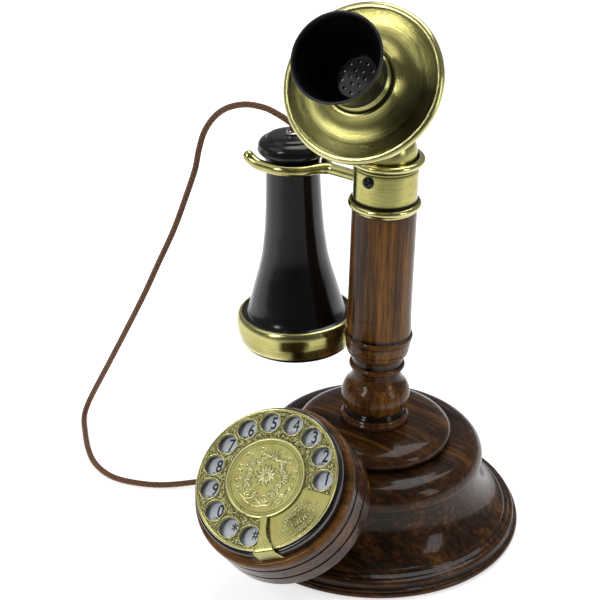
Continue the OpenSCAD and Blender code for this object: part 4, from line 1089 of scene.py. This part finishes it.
# ---------------------------------------------------------------------------
# Dial bed. A polished black ring screwed to the drum holds the enamelled
# number plate, printed in black with the figures and their small letters.
# ---------------------------------------------------------------------------
ring_top = -2.2
plate_face = -4.2
ring_outline = [(34, drum_face + 0.05), (ring_r, drum_face + 0.05), (ring_r, ring_top - 1)]
ring_outline += [(ring_r - 0.2, ring_top - 0.5), (ring_r - 0.5, ring_top - 0.2), (ring_r - 1.2, ring_top)]
ring_outline += [(ring_in + 0.5, ring_top), (ring_in, ring_top - 0.5), (ring_in, plate_face - 0.85)]
ring_outline += [(34, plate_face - 0.85)]
ring_gloss = black_gloss("ring_gloss")
bed = turning("dial_bed", ring_outline, ring_gloss, dial_place, 192, 30, step=0.8)
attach(bed, "base")
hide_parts("dial_ring")

enamel, tree, skin = finish_of("pale_enamel", Coat_Weight=0.3, Coat_Roughness=0.1)
pooled = mottle(tree, where(tree), (55, 55, 55), 3.0)
grit = mottle(tree, where(tree), (900, 900, 900), 2.0)
glaze = shades(tree, pooled, (0.3, 0.80, 0.86, 0.97), (0.7, 0.86, 0.91, 1.0))
glaze = tint(tree, 0.12, glaze, put(tree, "ValToRGB", {"Fac": grit}), "SOFT_LIGHT")
surface(tree, skin, glaze, calc(tree, "MULTIPLY_ADD", pooled, 0.15, 0.22), relief(tree, pooled, 0.0001))
plate_outline = [(10.5, plate_face - 0.8), (ring_in - 0.1, plate_face - 0.8), (ring_in - 0.1, plate_face)]
plate_outline += [(10.5, plate_face)]
plate = turning("number_disc", plate_outline, enamel, dial_place, 160, 30, step=3)
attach(plate, "base")
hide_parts("number_plate")

hole_r = 5.65
hole_circle = 32.0
hole_angles = [math.radians(19 + 24 * k) for k in range(12)]
ink, tree, skin = finish_of("black_ink")
blots = mottle(tree, where(tree), (700, 700, 700), 3.0)
printed = shades(tree, blots, (0.3, 0.004, 0.004, 0.006), (0.75, 0.016, 0.016, 0.020))
surface(tree, skin, printed, calc(tree, "MULTIPLY_ADD", blots, 0.3, 0.35))


def gathered(name, parts, finish, place=None, crease=40):
    """One mesh made of copies of others, each with its own placing. Notes stay with their points."""
    points, faces, rises = [], [], []
    for mesh, spot in parts:
        first = len(points)
        points += [tuple(spot @ v.co) for v in mesh.vertices]
        faces += [tuple(first + v for v in face.vertices) for face in mesh.polygons]
        note = mesh.attributes.get("rise")
        rises += [d.value for d in note.data] if note else [1.0] * len(mesh.vertices)
    return keep(name, noting(name, points, faces, rise=rises), finish, crease, place)


def figure_mesh(text, height, slant):
    """A narrow figure or letters as a flat mesh, centred, of a height in millimetres. They are a little
    bold, but for the 4, whose strokes would meet."""
    narrow, bold, relief_up = 0.76, 0.014, 0.004
    words = bpy.data.curves.new(text, "FONT")
    words.body = text
    words.shear = slant
    words.offset = 0.0 if text == "4" else bold
    words.extrude = relief_up
    mesh = filled(words)
    low = Vector([min(v.co[i] for v in mesh.vertices) for i in (0, 1)])
    high = Vector([max(v.co[i] for v in mesh.vertices) for i in (0, 1)])
    size = height * mm / (high.y - low.y)
    for v in mesh.vertices:
        across, up = v.co.x - (low.x + high.x) / 2, v.co.y - (low.y + high.y) / 2
        v.co = (across * size * narrow, up * size, v.co.z * size)
    return mesh


letters = ("", "ABC", "DEF", "GHI", "JKL", "MNO", "PRS", "TUV", "WXY", "OPER", "", "")
marks = []
print_turn = math.radians(20)
print_circle, print_ahead = 31.7, 0.02
for turn, sign, word in zip(hole_angles, "1234567890*#", letters):
    x = print_circle * math.cos(turn + print_ahead) + 0.35
    y = print_circle * math.sin(turn + print_ahead) + 1.8
    tall = {"*": 4.8, "#": 5.2}.get(sign, 7.0)
    for text, size, slant, over, down in ((sign, tall, 0.1, 0, 0), (word, 2.0, 0.05, 0.3, -4.5)):
        if text:
            spot = Matrix.Translation(((x + over) * mm, (y + down) * mm, (plate_face + 0.03) * mm))
            marks.append((figure_mesh(text, size, slant), spot @ Matrix.Rotation(print_turn, 4, "Z")))
figures = gathered("dial_figures", marks, ink, dial_place)
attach(figures, "base")

# ---------------------------------------------------------------------------
# Finger wheel. A stamped brass disc with twelve holes, each with a raised and
# polished lip. Foliage is stamped between the holes on a dark ground, and one
# loose spray fills the plain part beside the finger stop.
# ---------------------------------------------------------------------------
wheel_t = 1.6
stamped, tree, skin, aged = plain_brass("stamped_ground", 0.27, 0.45)
apart = put(tree, "SeparateXYZ", {0: where(tree)})
from_hub = put(tree, "CombineXYZ", {"X": apart, "Y": apart.node.outputs["Y"]})
from_hub = put(tree, "VectorMath", {0: from_hub}, operation="LENGTH").node.outputs["Value"]
bearing = calc(tree, "ARCTAN2", apart.node.outputs["Y"], apart)
inside_rim = calc(tree, "LESS_THAN", from_hub, 0.0383)
off_centre = calc(tree, "ABSOLUTE", calc(tree, "ADD", bearing, math.radians(24.5)))
in_foliage = calc(tree, "GREATER_THAN", off_centre, math.radians(31))
spray_fade = put(tree, "MapRange", {"Value": off_centre, 1: 0.1, 2: 0.36, 3: 0.9, 4: 0.0})
past_medallion = put(tree, "MapRange", {"Value": from_hub, 1: 0.0235, 2: 0.028})
spray_fade = calc(tree, "MULTIPLY", spray_fade, past_medallion)
ground = calc(tree, "MULTIPLY", inside_rim, calc(tree, "MAXIMUM", in_foliage, spray_fade))
stipple = mottle(tree, where(tree), (1100, 1100, 1100), 3.0, 0.6, 0.6)
dark_ground = shades(
    tree, stipple,
    (0.38, 0.022, 0.021, 0.014), (0.56, 0.150, 0.138, 0.058), (0.7, 0.40, 0.38, 0.16),
)
sanded = shades(tree, stipple, (0.36, 1, 1, 1), (0.6, 0.35, 0.35, 0.35))
blackened_in = tint(tree, calc(tree, "MULTIPLY", ground, sanded), aged["Colour"], dark_ground)
surface(tree, skin, blackened_in, calc(tree, "MULTIPLY_ADD", ground, 0.22, aged["Roughness"]),
        relief(tree, calc(tree, "MULTIPLY", stipple, ground), 0.00035))
hole_spots = [(hole_circle * math.cos(t), hole_circle * math.sin(t)) for t in hole_angles]
holes = [ring(hole_r, spot, 48) for spot in hole_spots]
wheel = pressed("wheel_disc", [ring(wheel_r - 0.4, steps=160)] + holes, wheel_t, 0.15, stamped,
                dial_place @ Matrix.Translation((0, 0, -wheel_t / 2 * mm)))
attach(wheel, "dial")
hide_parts("finger_wheel")



def at_holes(name, outline, finish):
    """The same small turning set in each of the twelve holes, as one piece."""
    one = turning("one_of_them", outline, finish, None, 56, 50, step=0.6)
    spots = [Matrix.Translation((x * mm, y * mm, 0)) for x, y in hole_spots]
    made = gathered(name, [(one.data, spot) for spot in spots], finish, dial_place, 50)
    bpy.data.objects.remove(one)
    return made


lip_brass, tree, skin, aged = plain_brass("lip_brass", 0.16, 0.2)
surface(tree, skin, tint(tree, 0.5, aged["Colour"], (0.74, 0.71, 0.36, 1)), aged["Roughness"],
        pitted(tree, 900, 0.00003))
rim_outline = [(wheel_r - 1.4, -0.1), (wheel_r - 1.15, 0.25), (wheel_r - 0.8, 0.45), (wheel_r - 0.4, 0.42)]
rim_outline += [(wheel_r - 0.1, 0.15), (wheel_r, -0.2), (wheel_r, -1.8), (wheel_r - 0.9, -1.8)]
rim_outline.append((wheel_r - 1.4, -1.6))
wheel_edge = turning("wheel_edge", rim_outline, lip_brass, dial_place, 192, 50, step=0.4)
lip_outline = [(hole_r - 0.05, -1.5), (hole_r - 0.05, 0.15), (hole_r + 0.1, 0.36), (hole_r + 0.3, 0.42)]
lip_outline += [(hole_r + 0.5, 0.36), (hole_r + 0.65, 0.15), (hole_r + 0.7, -0.3), (hole_r + 0.3, -1.5)]
lips = at_holes("hole_lips", lip_outline, lip_brass)
# Black tubes down each finger hole: a painted shadow standing in for the dark gap under the wheel.
shadow_liner_outline = [(hole_r - 0.04, -2.6), (hole_r - 0.04, 0.02), (hole_r + 0.1, 0.02), (hole_r + 0.1, -2.6)]
shadow_liners = at_holes("hole_shadow_liners", shadow_liner_outline, ring_gloss)
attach(shadow_liners, "dial")
hub_outline = [(3.05, -3.2), (9, -3.2), (9, -1.5), (3.05, -1.5)]
hub = turning("wheel_hub", hub_outline, ear_brass, dial_place, 64)
for piece in (wheel_edge, lips, hub):
    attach(piece, "dial")


def netted(rows, cells):
    """The faces between rows of points, each row of so many cells."""
    corners = [i * (cells + 1) + j for i in range(rows) for j in range(cells)]
    return [(a, a + cells + 1, a + cells + 2, a + 1) for a in corners]


def leaf_mesh():
    """One stamped leaf or petal, a unit long, half a unit wide and a unit high."""
    points, rises = [], []
    long_way, cross_way = 8, 6
    vein, ends = 0.25, 0.75
    for i in range(long_way + 1):
        u = i / long_way
        swell = math.sin(math.pi * u ** 0.85) ** ends if 0 < u < 1 else 0.0
        for j in range(cross_way + 1):
            v = j / cross_way * 2 - 1
            up = (1 - v * v) * swell - vein * swell * math.exp(-(v / 0.22) ** 2)
            points.append((u, v * 0.25 * swell, up - 0.15))
            rises.append(max(0.0, up))
    return noting("leaf", points, netted(long_way, cross_way), rise=rises)


leaf = leaf_mesh()


def leaf_at(x, y, heading, length, wide=1.0, high=0.28, low=0.0):
    """Where one leaf lies, in millimetres on the stamped face, pointing along its heading."""
    spot = Matrix.Translation((x * mm, y * mm, low * mm)) @ Matrix.Rotation(heading, 4, "Z")
    return leaf, spot @ Matrix.Diagonal((length * mm, length * wide * mm, high * mm, 1))


stamped_leaf, tree, skin, aged = plain_brass("stamped_leaf", 0.2, 0.2)
rise = noted(tree, "rise")
# Each leaf goes dark towards its foot and bright on its top: painted shade in the crevices round the
# stamped relief, and tops rubbed bright.
crevice_shade_and_rubbed_tops = shades(tree, rise, (0.0, 0.012, 0.011, 0.007), (0.4, 0.22, 0.20, 0.08), (0.9, 0.80, 0.77, 0.40))
surface(tree, skin, tint(tree, 0.12, crevice_shade_and_rubbed_tops, aged["Colour"]), calc(tree, "MULTIPLY_ADD", rise, -0.2, 0.42),
        pitted(tree, 1800, 0.00004))

medal_r = 22.4
chance = random.Random(11)
foliage, sites = [], []
apart_by = 1.0
for _ in range(9000):
    turn = math.radians(chance.uniform(8, 297))
    out_by = chance.uniform(medal_r + 0.9, wheel_r - 1.9)
    x, y = out_by * math.cos(turn), out_by * math.sin(turn)
    clear = min(math.hypot(x - hx, y - hy) for hx, hy in hole_spots)
    if clear < hole_r + 1.0 or any(math.hypot(x - sx, y - sy) < apart_by for sx, sy in sites):
        continue
    sites.append((x, y))
    swirl = math.sin(x * 0.9) * 1.6 + math.cos(y * 0.8) * 1.6 + chance.uniform(-0.5, 0.5)
    foliage.append(leaf_at(x, y, swirl, chance.uniform(1.3, 1.9), chance.uniform(0.9, 1.3)))
for turn in hole_angles[:-1]:
    gap = turn + math.radians(12)
    for out_by, petals, length in ((36.3, 5, 1.25), (26.0, 6, 1.5)):
        x, y = out_by * math.cos(gap), out_by * math.sin(gap)
        for k in range(petals):
            foliage.append(leaf_at(x, y, math.tau * k / petals + gap, length, 1.1, 0.36))
sprays = ((-47, 35.5, -12, 25.0, 2.5), (-44, 31.0, -4, 33.5, -2.0), (-36, 27.5, -8, 29.5, 1.5),
          (-38, 36.0, -16, 35.5, -0.8))
for start_turn, start_out, end_turn, end_out, sag in sprays:
    a, b = math.radians(start_turn), math.radians(end_turn)
    first = Vector((start_out * math.cos(a), start_out * math.sin(a)))
    last = Vector((end_out * math.cos(b), end_out * math.sin(b)))
    across = Vector((-(last - first).y, (last - first).x)).normalized()
    heading = math.atan2((last - first).y, (last - first).x)
    for k in range(14):
        t = k / 13
        at = first.lerp(last, t) + across * sag * math.sin(math.pi * t)
        foliage.append(leaf_at(at.x, at.y, heading, 1.6, 0.35, 0.22))
        for side in (-1, 1):
            lean = heading + side * chance.uniform(0.7, 1.2)
            foliage.append(leaf_at(at.x, at.y, lean, chance.uniform(1.4, 2.3), 0.9, 0.24))
engraving = gathered("wheel_foliage", foliage, stamped_leaf, dial_place, 60)
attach(engraving, "dial")
for node in ("main_gear", "governor"):
    dress(node, ear_brass)

# ---------------------------------------------------------------------------
# Medallion. A stamped brass disc over the hub with a rolled rim, a thin inner
# ring, a notch for lifting it out, and a spray of scrolls round a rosette.
# ---------------------------------------------------------------------------
field = 1.12
medal_outline = [(0, 0.9), (7.5, 0.9), (7.5, 0.05), (medal_r, 0.05), (medal_r, 1.1), (medal_r - 0.15, 1.4)]
medal_outline += [(medal_r - 0.5, 1.55), (medal_r - 1.0, 1.55), (medal_r - 1.3, 1.4), (medal_r - 1.5, 1.15)]
medal_outline += [(medal_r - 2.7, 1.12), (medal_r - 2.8, 0.98), (medal_r - 3.05, 0.98)]
medal_outline += [(medal_r - 3.15, 1.12), (12, 1.13), (0, 1.16)]
medal_brass, tree, skin, aged = plain_brass("medallion_brass", 0.26, 0.9)
tree.links.new(noted(tree, "hollow"), aged["Colour"].node.inputs["Hollow"])
surface(tree, skin, aged["Colour"], aged["Roughness"], pitted(tree, 500, 0.00009, 5.0, 0.6))
medal = turning("medallion_disc", medal_outline, medal_brass, dial_place, 160, 40, closed=False, step=0.35)
notch = dial_place @ Matrix.Rotation(math.radians(-92), 4, "Z")
carve(medal, [block((medal_r - 0.5, -0.9, -1), (medal_r + 2, 0.9, 4), notch)])
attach(medal, "dial")
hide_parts("medallion")


def scroll(x, y, size, start, hand, turns=1.6, tail=()):
    """The line of a scroll that winds in on a point, after the points of its tail."""
    line = [Vector((tx, ty, field)) for tx, ty in tail]
    steps = 22
    for k in range(steps):
        t = k / (steps - 1)
        reach_in = size * (1 - t) ** 0.8 + 0.25
        turn = start + hand * math.tau * turns * t
        line.append(Vector((x + reach_in * math.cos(turn), y + reach_in * math.sin(turn), field)))
    return through(line, 3)


wires = []
for side in (-1, 1):
    for cx, cy, size, start, hand, tail in (
        (13.2, -7.6, 2.5, 200, 1, ((1.0, -12.2), (5.2, -14.2), (9.6, -12.6))),
        (5.4, -10.2, 2.2, 20, -1, ((0.6, -16.2), (4.2, -15.4), (8.0, -12.8))),
        (15.6, 0.6, 1.7, 250, 1, ((11.8, -5.4), (14.4, -4.6))),
        (14.4, 7.6, 1.9, 200, -1, ((13.4, 2.2), (11.8, 5.0))),
        (8.6, 13.2, 2.0, 250, -1, ((2.2, 11.0), (5.2, 11.8))),
    ):
        first = math.radians(start) if side > 0 else math.pi - math.radians(start)
        tail = [(side * tx, ty) for tx, ty in tail]
        line = scroll(side * cx, cy, size, first, hand * side, 1.4, tail)
        wire = hose("wire", line, 0.42, 8, stamped_leaf, lambda share: 1.15 - 0.7 * share)[0]
        wires.append(wire)
ornament = [(wire.data, Matrix.Identity(4)) for wire in wires]
rays = [-90 + (k - 4) * 20 for k in range(9)]
for count, length, wide, high in ((12, 7.0, 0.9, 0.45), (12, 4.6, 1.0, 0.65), (8, 2.4, 1.2, 0.85)):
    for k in range(count):
        heading = math.tau * (k + (0.5 if length < 6 else 0)) / count
        ornament.append(leaf_at(0, 1.4, heading, length, wide * 0.8, high, field))
for k, ray in enumerate(rays):
    heading = math.radians(ray)
    ornament.append(leaf_at(0, -9.0, heading, 6.2 - abs(k - 4) * 0.7, 0.42, 0.45, field))
    ornament.append(leaf_at(0, 9.8, -heading, 7.0 - abs(k - 4) * 0.9, 0.42, 0.45, field))
for side in (-1, 1):
    for k in range(17):
        turn = math.radians(-58 + k * 7.6)
        out_by = 10.4 + 1.0 * math.sin(k * 0.9)
        x, y = side * out_by * math.cos(turn), 1.0 + out_by * math.sin(turn)
        lean = turn + math.radians(90)
        for open_by in (-0.95, -0.2, 0.5, 1.2):
            heading = lean + open_by
            heading = heading if side > 0 else math.pi - heading
            ornament.append(leaf_at(x, y, heading, 2.6 + 0.7 * (k % 2), 0.8, 0.42, field))
for k in range(21):
    degrees = -150 + k * 15
    if abs(degrees + 90) > 34:
        turn = math.radians(degrees)
        x, y = 17.9 * math.cos(turn), 17.9 * math.sin(turn)
        for open_by in (-0.5, 0.5):
            ornament.append(leaf_at(x, y, turn + math.pi + open_by, 2.2, 0.8, 0.3, field))
ornaments = gathered("medallion_ornament", ornament, stamped_leaf, dial_place, 60)
for wire in wires:
    bpy.data.objects.remove(wire)
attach(ornaments, "dial")

# ---------------------------------------------------------------------------
# Finger stop. A strip of sheet brass screwed to the side of the black ring,
# folded over the wheel's edge and drawn in to a narrow finger.
# ---------------------------------------------------------------------------
strip = [
    (22.0, 2.2, 2.0, 2.0), (23.6, 2.5, 2.0, 2.1), (27.5, 2.9, 1.7, 2.0), (31.5, 3.1, 1.8, 2.3),
    (35.0, 3.2, 2.6, 2.8), (38.0, 3.2, 4.3, 3.9), (40.2, 3.1, 5.3, 5.0), (41.4, 2.75, 5.8, 5.4),
    (42.05, 2.0, 6.0, 5.6), (42.25, 0.8, 6.1, 5.6), (42.25, -2.0, 6.6, 5.7), (42.25, -5.0, 7.2, 5.8),
    (42.25, -7.4, 7.8, 5.9),
]
middles = through([Vector((r, z)) for r, z, *_ in strip], 5)
widths = through([Vector((a, b)) for *_, a, b in strip], 5)
cells = 10
points = []
for middle, width in zip(middles, widths):
    for j in range(cells + 1):
        aside = (width.x + width.y) * j / cells - width.y
        points.append((middle.x * mm, aside * mm, middle.y * mm))
sheet_mesh = noting("stop_strip", points, netted(len(middles) - 1, cells))
strip_brass, tree, skin, aged = plain_brass("strip_brass", 0.2, 0.3)
drawn = mottle(tree, where(tree), (300, 2600, 300), 3.0)
draw_marks = shades(tree, drawn, (0.35, 0.22, 0.20, 0.07), (0.65, 0.7, 0.67, 0.3))
surface(tree, skin, tint(tree, 0.3, aged["Colour"], draw_marks), aged["Roughness"],
        relief(tree, drawn, 0.00004))
stop_place = dial_place @ Matrix.Rotation(math.radians(-61), 4, "Z")
stop = keep("stop_strip", sheet_mesh, strip_brass, 35, stop_place)
plate_up = stop.modifiers.new("thick", "SOLIDIFY")
plate_up.thickness = 0.9 * mm
plate_up.offset = -1
eased = stop.modifiers.new("eased", "BEVEL")
eased.width = 0.16 * mm
eased.segments = 2
eased.limit_method = "ANGLE"
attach(stop, "base")
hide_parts("finger_stop")
rivet_place = stop_place @ Matrix.Translation((38.65 * mm, 0, -5.2 * mm))
rivet_place = rivet_place @ Matrix.Rotation(math.radians(90), 4, "Y")
rivet_outline = [(0, 0.4), (0.6, 0.4), (0.6, 3.4), (1.1, 3.62), (0, 3.62)]
rivet = turning("stop_rivet", rivet_outline, strip_brass, rivet_place, 24, closed=False)
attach(rivet, "base")
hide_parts("stop_screw")
dress("cord_grommet", ear_brass)
